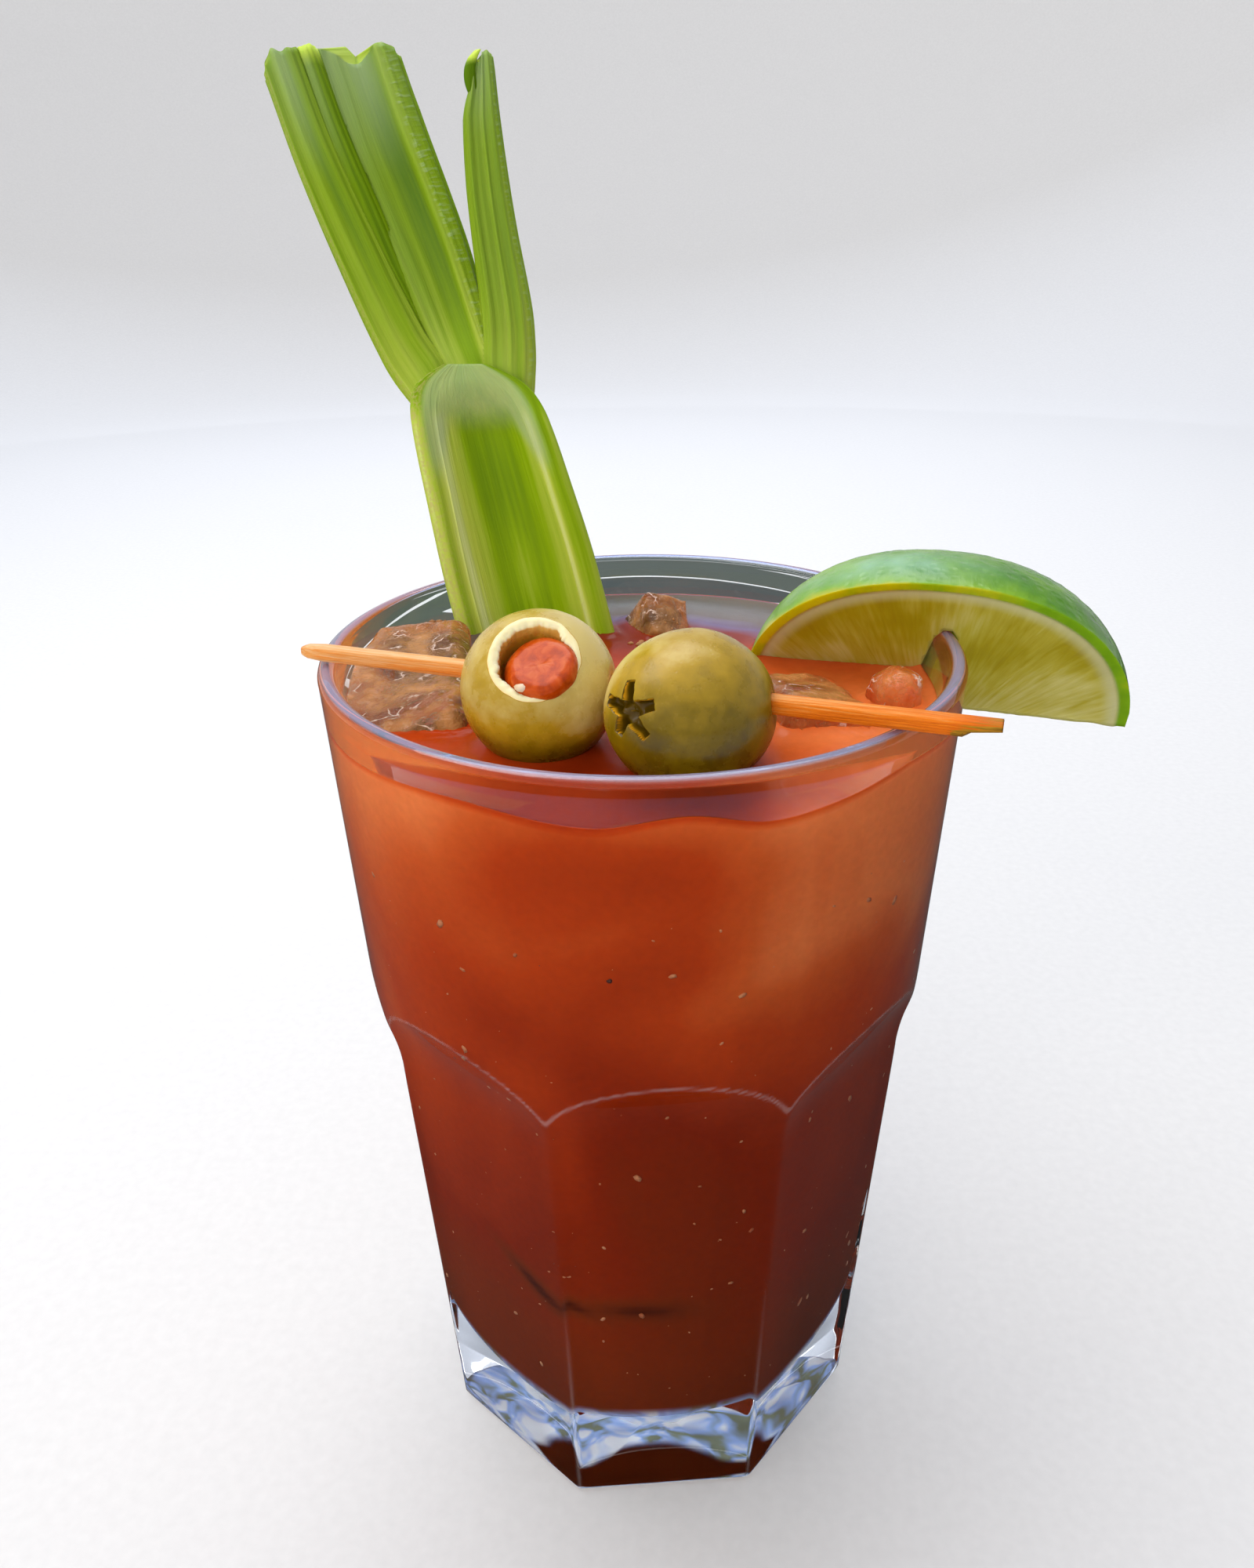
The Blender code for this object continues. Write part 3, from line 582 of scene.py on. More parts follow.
def lime_fruit():
    # A cut lime: oily pored peel, a pale pith line, and juicy flesh with long vesicles, and a
    # painted pale sheen on the peel's upper front
    material, tree = new_material("cut_lime")
    place = add(tree, "ShaderNodeTexCoord").outputs["Object"]
    fan = add(tree, "ShaderNodeAttribute", attribute_name="fan").outputs["Vector"]
    peel, pith, ripe, sheen = (add(tree, "ShaderNodeAttribute", attribute_name=mark).outputs["Fac"]
                               for mark in ("peel", "pith", "ripe", "sheen"))
    sacs = add(tree, "ShaderNodeTexNoise", {
        "Vector": fan, "Scale": 1.0, "Detail": 3.0, "Roughness": 0.55, "Distortion": 0.3})
    soft = add(tree, "ShaderNodeTexNoise", {"Vector": place, "Scale": per(9), "Detail": 2.0})
    faint = add(tree, "ShaderNodeMath", {0: sacs, 1: 0.6, 2: 0.2}, operation="MULTIPLY_ADD")
    mixed = add(tree, "ShaderNodeMath", {0: faint, 1: soft}, operation="ADD")
    height = add(tree, "ShaderNodeSeparateXYZ", {0: place}).outputs["Z"]
    # The flesh is paler towards the bottom of the wedge
    juicy = add(tree, "ShaderNodeMapRange", {
        "Value": height, "From Min": 0.111, "From Max": 0.124, "To Min": 0.3, "To Max": -0.08})
    mixed = add(tree, "ShaderNodeMath", {0: mixed, 1: juicy}, operation="ADD")
    flesh = add(tree, "ShaderNodeValToRGB", {0: mixed}, stops=[
        (0.6, "#90800A"), (1.0, "#AAA030"), (0.82, "#9C900E")])
    paler = add(tree, "ShaderNodeMapRange", {
        "Value": mixed, "From Min": 1.0, "From Max": 1.6, "To Max": 0.85})
    flesh = add(tree, "ShaderNodeMix", {0: paler, 6: flesh, 7: paint("#DCDA9A")}, data_type="RGBA")
    thin = add(tree, "ShaderNodeMath", {0: pith, 1: 0.7}, operation="MULTIPLY")
    rind = add(tree, "ShaderNodeMix", {
        0: thin, 6: flesh.outputs[2], 7: paint("#BEBE90")}, data_type="RGBA")
    blotch = add(tree, "ShaderNodeTexNoise", {"Vector": place, "Scale": per(6), "Detail": 3.0})
    spread = add(tree, "ShaderNodeMapRange", {
        "Value": blotch, **NOISE_SPAN, "To Min": -0.18, "To Max": 0.18})
    tone = add(tree, "ShaderNodeMath", {0: ripe, 1: spread}, operation="ADD")
    skin_green = add(tree, "ShaderNodeValToRGB", {0: tone}, stops=[
        (0.0, "#326200"), (1.0, "#BCB204"), (0.35, "#4C8200"), (0.7, "#78A204")])
    # The painted pale sheen on the peel
    bloomed = add(tree, "ShaderNodeMix", {
        0: sheen, 6: skin_green, 7: paint("#A4CCB4")}, data_type="RGBA")
    shown = add(tree, "ShaderNodeMix", {
        0: peel, 6: rind.outputs[2], 7: bloomed.outputs[2]}, data_type="RGBA")
    pores = add(tree, "ShaderNodeTexVoronoi", {"Vector": place, "Scale": per(1.5)})
    pore = add(tree, "ShaderNodeMapRange", {"Value": pores, "From Max": 0.45})
    skin_relief = add(tree, "ShaderNodeMath", {0: pore, 1: peel}, operation="MULTIPLY")
    relief = add(tree, "ShaderNodeMath", {0: skin_relief, 1: sacs}, operation="ADD")
    bump = add(tree, "ShaderNodeBump", {"Height": relief, "Strength": 0.3, "Distance": 0.0003})
    gloss = add(tree, "ShaderNodeMapRange", {"Value": peel, "To Min": 0.3, "To Max": 0.26})
    shader = add(tree, "ShaderNodeBsdfPrincipled", {
        "Base Color": shown.outputs[2], "Roughness": gloss, "IOR": 1.42,
        "Specular IOR Level": 0.35, "Subsurface Weight": 0.25,
        "Subsurface Radius": (0.9, 1.0, 0.3), "Subsurface Scale": 0.004, "Normal": bump})
    add(tree, "ShaderNodeOutputMaterial", {"Surface": shader})
    return material


def melting_ice():
    # Melting ice wet with juice: cloudy and warm in tint, with a few fine pale cracks
    material, tree = new_material("melting_ice")
    place = add(tree, "ShaderNodeTexCoord").outputs["Object"]
    waves = add(tree, "ShaderNodeTexNoise", {
        "Vector": place, "Scale": per(3.2), "Detail": 4.0, "Roughness": 0.6})
    bump = add(tree, "ShaderNodeBump", {"Height": waves, "Strength": 0.7, "Distance": 0.0014})
    frost = add(tree, "ShaderNodeMapRange", {
        "Value": waves, "From Min": 0.5, "From Max": 0.8, "To Min": 0.02, "To Max": 0.18})
    bent = add(tree, "ShaderNodeVectorMath", {
        0: waves.outputs["Color"], "Scale": 0.004}, operation="SCALE")
    bent = add(tree, "ShaderNodeVectorMath", {0: place, 1: bent}, operation="ADD")
    cells = add(tree, "ShaderNodeTexVoronoi", {
        "Vector": bent, "Scale": per(3.4)}, feature="DISTANCE_TO_EDGE")
    line = add(tree, "ShaderNodeMapRange", {
        "Value": cells, "From Max": 0.06, "To Min": 1.0, "To Max": 0.0})
    cloud = add(tree, "ShaderNodeTexNoise", {"Vector": place, "Scale": per(4.5), "Detail": 3.0})
    broken = add(tree, "ShaderNodeMapRange", {"Value": cloud, "From Min": 0.54, "From Max": 0.62})
    crack = add(tree, "ShaderNodeMath", {0: line, 1: broken}, operation="MULTIPLY")
    clearness = add(tree, "ShaderNodeMapRange", {
        "Value": cloud, "From Min": 0.35, "From Max": 0.65, "To Min": 0.5, "To Max": 0.88})
    seen_through = add(tree, "ShaderNodeMix", {0: crack, 2: clearness, 3: 0.2})
    tint = add(tree, "ShaderNodeMix", {
        0: crack, 6: paint("#EEA860"), 7: paint("#F0DCD0")}, data_type="RGBA")
    ice = add(tree, "ShaderNodeBsdfPrincipled", {
        "Base Color": tint.outputs[2], "Roughness": frost, "IOR": 1.31,
        "Transmission Weight": seen_through, "Normal": bump})
    return finish_clear(material, ice, "#EED0B0")


def bit_material(name, dark, light, roughness):
    # Bits: pulp is pale and soft, ground spice is dark and dry, and a seed is pale and wet
    material, tree = new_material(name)
    place = add(tree, "ShaderNodeTexCoord").outputs["Object"]
    vary = add(tree, "ShaderNodeTexNoise", {"Vector": place, "Scale": per(3), "Detail": 3.0})
    colour = add(tree, "ShaderNodeValToRGB", {0: vary}, stops=[(0.3, dark), (0.7, light)])
    bump = add(tree, "ShaderNodeBump", {"Height": vary, "Strength": 0.3, "Distance": 0.0002})
    shader = add(tree, "ShaderNodeBsdfPrincipled", {
        "Base Color": colour, "Roughness": roughness, "Normal": bump})
    add(tree, "ShaderNodeOutputMaterial", {"Surface": shader})
    return material


# Glass

def round_radius(height):
    waist = WAIST * np.maximum(0.0, WAIST_START - np.maximum(height, SCOOP_START)) ** 2
    return RIM_RADIUS - ROUND_TAPER * (GLASS_HEIGHT - np.maximum(height, SCOOP_START)) - waist


def hollow_radius(height):
    return RIM_RADIUS - WALL_AT_LIP - INNER_TAPER * (GLASS_HEIGHT - height)


RECESS_RADIUS = 24.0
RECESS_HEIGHT = 1.1
CORNER_SOFTNESS = 0.8
EDGE_SOFTNESS = 0.7
# How far the painted pale highlight lines reach from an arch and from an upright edge
ARCH_LINE = 0.17             # how far the pale line reaches from an arch
EDGE_LINE = 0.012            # the same from an upright edge, in radians


def glass_profile():
    """(radius, height, share of the outside) from the underside's middle round to the floor's."""
    rows = []
    foot = float(round_radius(0.0))
    for share in np.linspace(0.02, 1.0, 26):
        radius = share * foot
        lift = RECESS_HEIGHT * float(ease(1 - share * BASE_APOTHEM / RECESS_RADIUS))
        rows.append((radius, lift, share))
    lip = WALL_AT_LIP / 2
    # The rows are closest at the arches
    heights = [*np.linspace(0.1, BASE_CHAMFER, 7), *np.linspace(3, 66, 14),
               *np.linspace(66.6, 92, 52), *np.linspace(94, GLASS_HEIGHT - lip, 14)]
    rows += [(float(round_radius(z)), z, 1.0) for z in heights]
    for step in range(1, 16):
        angle = math.pi * step / 16
        rows.append((RIM_RADIUS - lip + lip * math.cos(angle),
                     GLASS_HEIGHT - lip + lip * math.sin(angle), -1.0))
    for z in np.linspace(GLASS_HEIGHT - lip, CORNER_TOP, 40):
        rows.append((hollow_radius(z), z, -1.0))
    centre = hollow_radius(CORNER_TOP) - FLOOR_CORNER
    for step in range(1, 13):
        angle = math.radians(90 * step / 12)
        rows.append((centre + FLOOR_CORNER * math.cos(angle),
                     FLOOR_HEIGHT + FLOOR_CORNER * (1 - math.sin(angle)), -1.0))
    rows += [(centre * share, FLOOR_HEIGHT, -1.0) for share in (0.85, 0.6, 0.35, 0.1)]
    return rows


def facet_tree(material):
    """Geometry Nodes: presses a turned body's outside to flat facets with soft edges."""
    numbers = ("Facets", "Facing", "Base Apothem", "Flare", "Scoop Start", "Scoop", "Chamfer",
               "Chamfer In", "Corner Softness", "Edge Softness")
    tree, given = new_group("press_facets",
                            {"Body": "Geometry", **dict.fromkeys(numbers, "Float")}, "Body")
    place = add(tree, "ShaderNodeSeparateXYZ", {0: add(tree, "GeometryNodeInputPosition")})
    x, y, z = place.outputs
    share = add(tree, "GeometryNodeInputNamedAttribute", {"Name": "outside"}, data_type="FLOAT")
    share = share.outputs["Attribute"]
    bearing = add(tree, "ShaderNodeMath", {0: y, 1: x}, operation="ARCTAN2")
    turned = add(tree, "ShaderNodeMath", {0: bearing, 1: given["Facing"]}, operation="SUBTRACT")
    sector = add(tree, "ShaderNodeMath", {0: math.tau, 1: given["Facets"]}, operation="DIVIDE")
    half = add(tree, "ShaderNodeMath", {0: sector, 1: 0.5}, operation="MULTIPLY")
    minus = add(tree, "ShaderNodeMath", {0: half, 1: -1.0}, operation="MULTIPLY")
    off = add(tree, "ShaderNodeMath", {0: turned, 1: half, 2: minus}, operation="WRAP")
    off_size = add(tree, "ShaderNodeMath", {0: off}, operation="ABSOLUTE")
    next_off = add(tree, "ShaderNodeMath", {0: sector, 1: off_size}, operation="SUBTRACT")
    flare = add(tree, "ShaderNodeMath", {
        0: z, 1: given["Flare"], 2: given["Base Apothem"]}, operation="MULTIPLY_ADD")
    over = z
    for operation, by in (("SUBTRACT", given["Scoop Start"]), ("MAXIMUM", 0.0), ("POWER", 2.0)):
        over = add(tree, "ShaderNodeMath", {0: over, 1: by}, operation=operation)
    apothem = add(tree, "ShaderNodeMath", {
        0: over, 1: given["Scoop"], 2: flare}, operation="MULTIPLY_ADD")
    low = add(tree, "ShaderNodeMath", {0: z, 1: given["Chamfer"]}, operation="DIVIDE")
    low = add(tree, "ShaderNodeMath", {0: 1.0, 1: low}, operation="SUBTRACT")
    low = add(tree, "ShaderNodeMath", {0: low, 1: 0.0}, operation="MAXIMUM")
    low = add(tree, "ShaderNodeMath", {0: low, 1: 1.6}, operation="POWER")
    pull = add(tree, "ShaderNodeMath", {0: low, 1: given["Chamfer In"]}, operation="MULTIPLY")
    apothem = add(tree, "ShaderNodeMath", {0: apothem, 1: pull}, operation="SUBTRACT")
    reach = []
    for angle in (off_size, next_off):
        cosine = add(tree, "ShaderNodeMath", {0: angle}, operation="COSINE")
        reach.append(add(tree, "ShaderNodeMath", {0: apothem, 1: cosine},
                         operation="DIVIDE"))
    facet = add(tree, "ShaderNodeMath", {
        0: reach[0], 1: reach[1], 2: given["Corner Softness"]}, operation="SMOOTH_MIN")
    facet = add(tree, "ShaderNodeMath", {0: facet, 1: share}, operation="MULTIPLY")
    flat = add(tree, "ShaderNodeCombineXYZ", {0: x, 1: y})
    radius = add(tree, "ShaderNodeVectorMath", {0: flat}, operation="LENGTH")
    pressed = add(tree, "ShaderNodeMath", {
        0: facet, 1: radius.outputs["Value"], 2: given["Edge Softness"]}, operation="SMOOTH_MIN")
    change = add(tree, "ShaderNodeMath", {
        0: pressed, 1: radius.outputs["Value"]}, operation="DIVIDE")
    new_x, new_y = (add(tree, "ShaderNodeMath", {0: old, 1: change}, operation="MULTIPLY")
                    for old in (x, y))
    moved = add(tree, "ShaderNodeCombineXYZ", {0: new_x, 1: new_y, 2: z})
    outer = add(tree, "FunctionNodeCompare", {
        0: share, 1: 0.0}, data_type="FLOAT", operation="GREATER_THAN")
    # How near each point is to an arch or to an upright edge between two facets, where the
    # glass carries painted highlight lines
    gap = add(tree, "ShaderNodeMath", {0: facet, 1: radius.outputs["Value"]}, operation="SUBTRACT")
    gap = add(tree, "ShaderNodeMath", {0: gap}, operation="ABSOLUTE")
    arch = add(tree, "ShaderNodeMapRange", {
        "Value": gap, "From Max": ARCH_LINE * MM, "To Min": 1.0, "To Max": 0.0})
    to_edge = add(tree, "ShaderNodeMath", {0: half, 1: off_size}, operation="SUBTRACT")
    edge = add(tree, "ShaderNodeMapRange", {
        "Value": to_edge, "From Max": EDGE_LINE, "To Min": 1.0, "To Max": 0.0})
    low_down = add(tree, "ShaderNodeMapRange", {
        "Value": z, "From Min": 0.018, "From Max": 0.045, "To Min": 0.45, "To Max": 0.0})
    edge = add(tree, "ShaderNodeMath", {0: edge, 1: low_down}, operation="MULTIPLY")
    crease = add(tree, "ShaderNodeMath", {0: arch, 1: edge}, operation="MAXIMUM")
    outside = add(tree, "ShaderNodeMath", {0: share, 1: 0.99}, operation="GREATER_THAN")
    crease = add(tree, "ShaderNodeMath", {0: crease, 1: outside}, operation="MULTIPLY")
    marked = add(tree, "GeometryNodeStoreNamedAttribute", {
        "Geometry": given["Body"], "Name": "crease", "Value": crease}, data_type="FLOAT",
        domain="POINT")
    pressed_body = add(tree, "GeometryNodeSetPosition", {
        "Geometry": marked, "Selection": outer, "Position": moved})
    return finish_group(tree, pressed_body, material)


def make_glass(material):
    sector = 360 / FACETS
    angles = []
    for facet in range(FACETS):
        for step in range(FACET_STEPS):
            t = 2 * step / FACET_STEPS - 1
            t += 0.5 * math.sin(math.pi * t) / math.pi      # closer columns at the edges
            angles.append(math.radians(FACET_TURN - 90 + sector * (facet + t / 2)))
    angles = np.array(angles)
    rings, shares = [], []
    for radius, height, share in glass_profile():
        rings.append(round_ring(radius, height, angles))
        shares.append(np.full(len(angles), share))
    points, faces = skin(rings)
    glass = add_piece("tumbler", points, faces, [material], {"outside": skin_marks(shares)})
    run_tree(glass, facet_tree(material), {
        "Facets": float(FACETS), "Facing": math.radians(FACET_TURN - 90),
        "Base Apothem": BASE_APOTHEM * MM, "Flare": FACET_FLARE, "Scoop Start": SCOOP_START * MM,
        "Scoop": SCOOP / MM, "Chamfer": BASE_CHAMFER * MM, "Chamfer In": BASE_CHAMFER_IN * MM,
        "Corner Softness": CORNER_SOFTNESS * MM, "Edge Softness": EDGE_SOFTNESS * MM})
    return glass


# Ice

ICE = {
    # size, centre, tilts and turn, seed, softness of the edges
    "ice_1": ((19.2, 29.5, 19.0), (-31.2, -0.4, 113.0), (7, -3, 6), 3, 0.12),
    "ice_2": ((8.0, 7.6, 9.4), (2.1, 24.9, 118.7), (38, 22, 25), 8, 0.08),
    "ice_3": ((12.4, 16.0, 18.0), (20.8, -7.8, 113.6), (-5, 6, 12), 5, 0.14),
    "ice_4": ((7.0, 8.4, 13.0), (33.0, -5.6, 117.6), (4, -5, 30), 11, 0.42),
}
ICE_VOXEL = 0.42
ICE_WAVES = 0.5
ICE_FROM_WALL = 0.1
ICE_RISE = 2.6               # how far the waves may lift a piece above half its size


def make_ice(name, material):
    """A melted cube: uneven corners, soft edges, and faces waved by melting."""
    size, centre, tilts, seed, softness = ICE[name]
    rng = random.Random(seed)
    bm = bmesh.new()
    bmesh.ops.create_cube(bm, size=1.0)
    for vert in bm.verts:
        vert.co += Vector([rng.uniform(-ICE_UNEVENNESS, ICE_UNEVENNESS) for _ in range(3)])
        vert.co = Vector([c * s for c, s in zip(vert.co, size)])
    bmesh.ops.bevel(bm, geom=bm.edges[:] + bm.verts[:], offset=min(size) * softness, segments=4,
                    profile=0.5, affect="EDGES")
    turned = Euler([math.radians(a) for a in tilts]).to_matrix().to_4x4()
    place = Matrix.Translation(centre) @ turned
    bmesh.ops.transform(bm, matrix=Matrix.Scale(MM, 4) @ place, verts=bm.verts)
    ice = new_object("clear_" + name, mesh_from(name, bm))
    remesh = ice.modifiers.new("remesh", "REMESH")
    remesh.mode, remesh.voxel_size = "VOXEL", ICE_VOXEL * MM
    smooth = ice.modifiers.new("smooth", "SMOOTH")
    smooth.factor, smooth.iterations = 0.5, 4
    make_plain(ice)
    points, normals = points_of(ice), normals_of(ice)
    nicks = np.abs(rough(points, 3.4, seed + 1))
    points += normals * (ICE_WAVES * rough(points, 5.5, seed) + 0.35 * nicks - 0.2
                         + 0.12 * rough(points, 1.5, seed))[:, None]
    points[:, 2] = np.minimum(points[:, 2], centre[2] + size[2] / 2 + ICE_RISE)
    reach = np.hypot(points[:, 0], points[:, 1])
    room = hollow_radius(points[:, 2]) - ICE_FROM_WALL
    points[:, :2] *= np.minimum(1.0, room / reach)[:, None]
    move_points(ice, points)
    ice.data.materials.clear()
    ice.data.materials.append(material)
    ice.data.shade_smooth()
    return ice


# Celery

def stalk_axes():
    """Directions of the stalk: across it, up along it and towards its back."""
    up = STALK_LEAN.normalized()
    back = Vector((0.0, 1.0, -STALK_LEAN.y)).normalized()
    across = back.cross(up)
    return np.array([across, up, back])


def stalk_points(across, up, back):
    return np.array(STALK_AT_RIM) + np.stack([across, up, back], -1) @ stalk_axes()


OUTER_STEPS = 90
TROUGH_STEPS = 44


def channel_outline(width, depth, trough, edge):
    """A channel's section (across, back), ribbed outside, and the zone of each of its points.

    The zone is 0 outside, 1 on an edge and 2 in the trough.
    """
    angle = np.pi * np.arange(OUTER_STEPS + 1) / OUTER_STEPS
    ripple = RIB_HEIGHT * np.cos(math.tau * RIBS * angle / np.pi) * np.sin(angle)
    outer = np.stack([-(width / 2 + ripple) * np.cos(angle), (depth + ripple) * np.sin(angle)], 1)
    # Each edge is round on its outer half and runs softly into the trough on its inner half
    turn = np.cos(np.pi * np.arange(1, 14) / 14)
    crest = edge / 2 * EDGE_ROUNDNESS * np.where(turn > 0, np.sqrt(1 - turn ** 2),
                                                 0.5 + 0.5 * np.cos(np.pi * turn))
    right = np.stack([width / 2 - edge / 2 + edge / 2 * turn, -crest], 1)
    sweep = np.pi * np.arange(TROUGH_STEPS + 1) / TROUGH_STEPS
    inner = width / 2 - edge
    hollow = np.stack([inner * np.cos(sweep), trough * np.sin(sweep) ** 1.8], 1)
    left = np.stack([-width / 2 + edge / 2 + edge / 2 * turn, -crest[::-1]], 1)
    zone = [0.0] * len(outer) + [1.0] * len(right) + [2.0] * len(hollow) + [1.0] * len(left)
    return np.vstack([outer, right, hollow, left]), np.array(zone)


def make_stalk():
    levels = [*np.linspace(STALK_FOOT, -20, 16), *np.linspace(-18, 20, 34),
              *np.linspace(20.6, 33, 32)]
    closes, ends = TROUGH_CLOSES
    rings, grain, pale, blush, bloom = [], [], [], [], []
    for level in levels:
        width = along(STALK_WIDTHS, level)[0]
        open_share = float(1 - ease((level - closes) / (ends - closes)))
        skew = NODE_SKEW * float(ease((level - SKEW_START) / (STALK_NODE - SKEW_START)))
        depth = STALK_DEPTH * blend(0.8, 1, open_share) * min(1, width / 16)
        edge = min(STALK_EDGE, width * 0.3)
        outline, zone = channel_outline(width, depth, TROUGH_DEPTH * open_share + 0.01, edge)
        x, y = outline[:, 0], outline[:, 1]
        share = x / (width / 2)
        # Shallow ridges where the strings run under the trough
        fading = float(1 - ease((level - 16) / 8))
        y = y - np.where(zone == 2, 0.07 * fading * (hump(share, -0.62, 0.06)
                                                     + hump(share, 0.7, 0.05)), 0.0)
        y = np.where(zone == 1, y * blend(0.2, 1.0, open_share), y)
        rings.append(stalk_points(x, level + skew * x, y))
        grain.append(np.stack([share * 11, y, np.full(len(x), level)], 1))
        front = np.where(zone > 0, 1.0, 0.0)
        # Pale strings beside the trough, deepest green under the pale end, paler lower down
        bands = (0.5 * hump(share, -0.93, 0.1) + 0.62 * hump(share, -0.63, 0.11)
                 + 0.3 * hump(share, -0.46, 0.12) + 0.38 * hump(share, 0.7, 0.05)
                 + 0.26 * hump(share, 0.6, 0.16) + 0.34 * hump(share, 0.96, 0.05)
                 - 0.14 * hump(level, 17.0, 9.0) * hump(share, 0.0, 0.4)
                 + 0.12 * hump(level, 2.0, 6.0) * hump(share, 0.05, 0.25))
        bands = bands * (1 - ease((level - 24) / 5))
        arms = 7.5 * ease((np.abs(share) - 0.42) / 0.3)
        panel = ease((level - 23.0 + arms) / 5.0) * ease((0.86 - np.abs(share)) / 0.12)
        tone = 0.42 * (1 - front) + front * np.maximum(0.24 + bands, 0.42 * panel)
        pale.append(tone)
        # A painted sheen on the pale panel at the node
        bloom.append(front * 0.9 * panel)
        blush.append(front * hump(share, -0.93, 0.12))
    points, faces = skin(rings, flat_ends=True)
    marks = {"grain": np.concatenate(grain), "pale": np.concatenate(pale),
             "blush": np.concatenate(blush), "bloom": np.concatenate(bloom)}
    for name in ("leafy", "cut", "wrinkle"):
        marks[name] = np.zeros(len(points))
    return points, faces, marks


# Each stem's stations: place up the stalk, middle across, how far back, width, thickness
LEFT_STEM = [
    (26.0, -4.9, 5.0, 4.4, 2.4), (30.0, -5.8, 5.0, 6.8, 5.0), (33.0, -6.6, 4.4, 7.6, 5.4),
    (38.2, -8.3, 3.6, 7.6, 5.6), (48.8, -10.4, 2.8, 7.2, 5.4), (65.7, -13.1, 2.0, 6.4, 5.0),
    (79.5, -14.3, 1.6, 5.8, 4.6)]
MIDDLE_STEM = [
    (28.5, 0.8, 5.0, 5.4, 2.4), (32.0, 0.6, 5.0, 8.2, 5.2), (38.0, -0.1, 4.6, 9.8, 5.8),
    (48.8, -1.2, 4.4, 11.4, 6.0), (56.4, -2.2, 4.6, 12.0, 5.9), (65.7, -3.4, 4.8, 12.4, 5.8),
    (77.0, -4.4, 5.2, 12.4, 5.4)]
RIGHT_STEM = [
    (23.5, 4.0, 5.0, 4.4, 2.4), (27.5, 4.9, 5.0, 6.6, 5.0), (31.0, 5.7, 4.2, 7.4, 5.6),
    (35.0, 6.8, 3.6, 7.4, 5.8), (39.5, 7.7, 3.0, 7.3, 5.8), (50.0, 8.8, 2.3, 6.5, 5.2),
    (57.0, 9.7, 2.0, 6.0, 4.8), (65.0, 11.1, 1.7, 5.1, 4.0), (70.5, 12.5, 1.6, 4.0, 3.2),
    (73.0, 13.3, 1.6, 3.0, 2.6)]
# The strip that joins the left stem to the middle one
WEB = [
    (30.0, -3.8, 4.6, 2.8, 2.0), (33.5, -4.2, 5.4, 4.0, 3.4), (40.0, -5.4, 4.8, 4.4, 3.8),
    (48.8, -7.2, 3.9, 4.6, 4.2), (56.4, -8.3, 3.3, 4.6, 4.3), (65.7, -9.7, 3.1, 4.4, 4.3),
    (77.0, -10.9, 3.1, 3.6, 4.2)]
# Where the stems are cut off: place across, place up the stalk
CUT_ENDS = [(-17.2, 77.4), (-15.2, 80.3), (-13.6, 79.9), (-11.4, 80.2), (-9.6, 80.4), (-7.4, 79.4),
            (-5.0, 77.6), (-2.6, 78.2), (-0.4, 79.0), (1.4, 78.0), (2.6, 75.2), (10.0, 71.0),
            (12.4, 72.2), (14.0, 73.2), (15.4, 71.6)]
STEMS = {
    # stations, depth of the hollow front, its ridges (place across, width, height), and where
    # its side face starts
    "left": (LEFT_STEM, 0.6, [(-0.72, 0.1, 0.5), (-0.1, 0.16, 0.3), (0.5, 0.14, 0.35)], -0.72),
    "web": (WEB, 0.0, [], 2.0),
    "middle": (MIDDLE_STEM, 2.2, [(-0.78, 0.12, 0.45), (-0.45, 0.1, 0.35), (0.52, 0.07, 0.8)],
               0.56),
    "right": (RIGHT_STEM, 0.9, [(-0.6, 0.12, 0.35), (0.12, 0.08, 0.55), (0.55, 0.2, 0.25)], 0.75),
}
STEM_POINTS = 120
STEM_RINGS = 74
CLOSING_RINGS = 4            # rings that close a cut end
CUT_RINGS = 12               # rings below it that follow its slant
HOLLOW_SHARE = 0.72          # how much of a stem's width its hollow front takes
CELERY_MARKS = ("grain", "pale", "leafy", "blush", "cut", "wrinkle", "bloom")


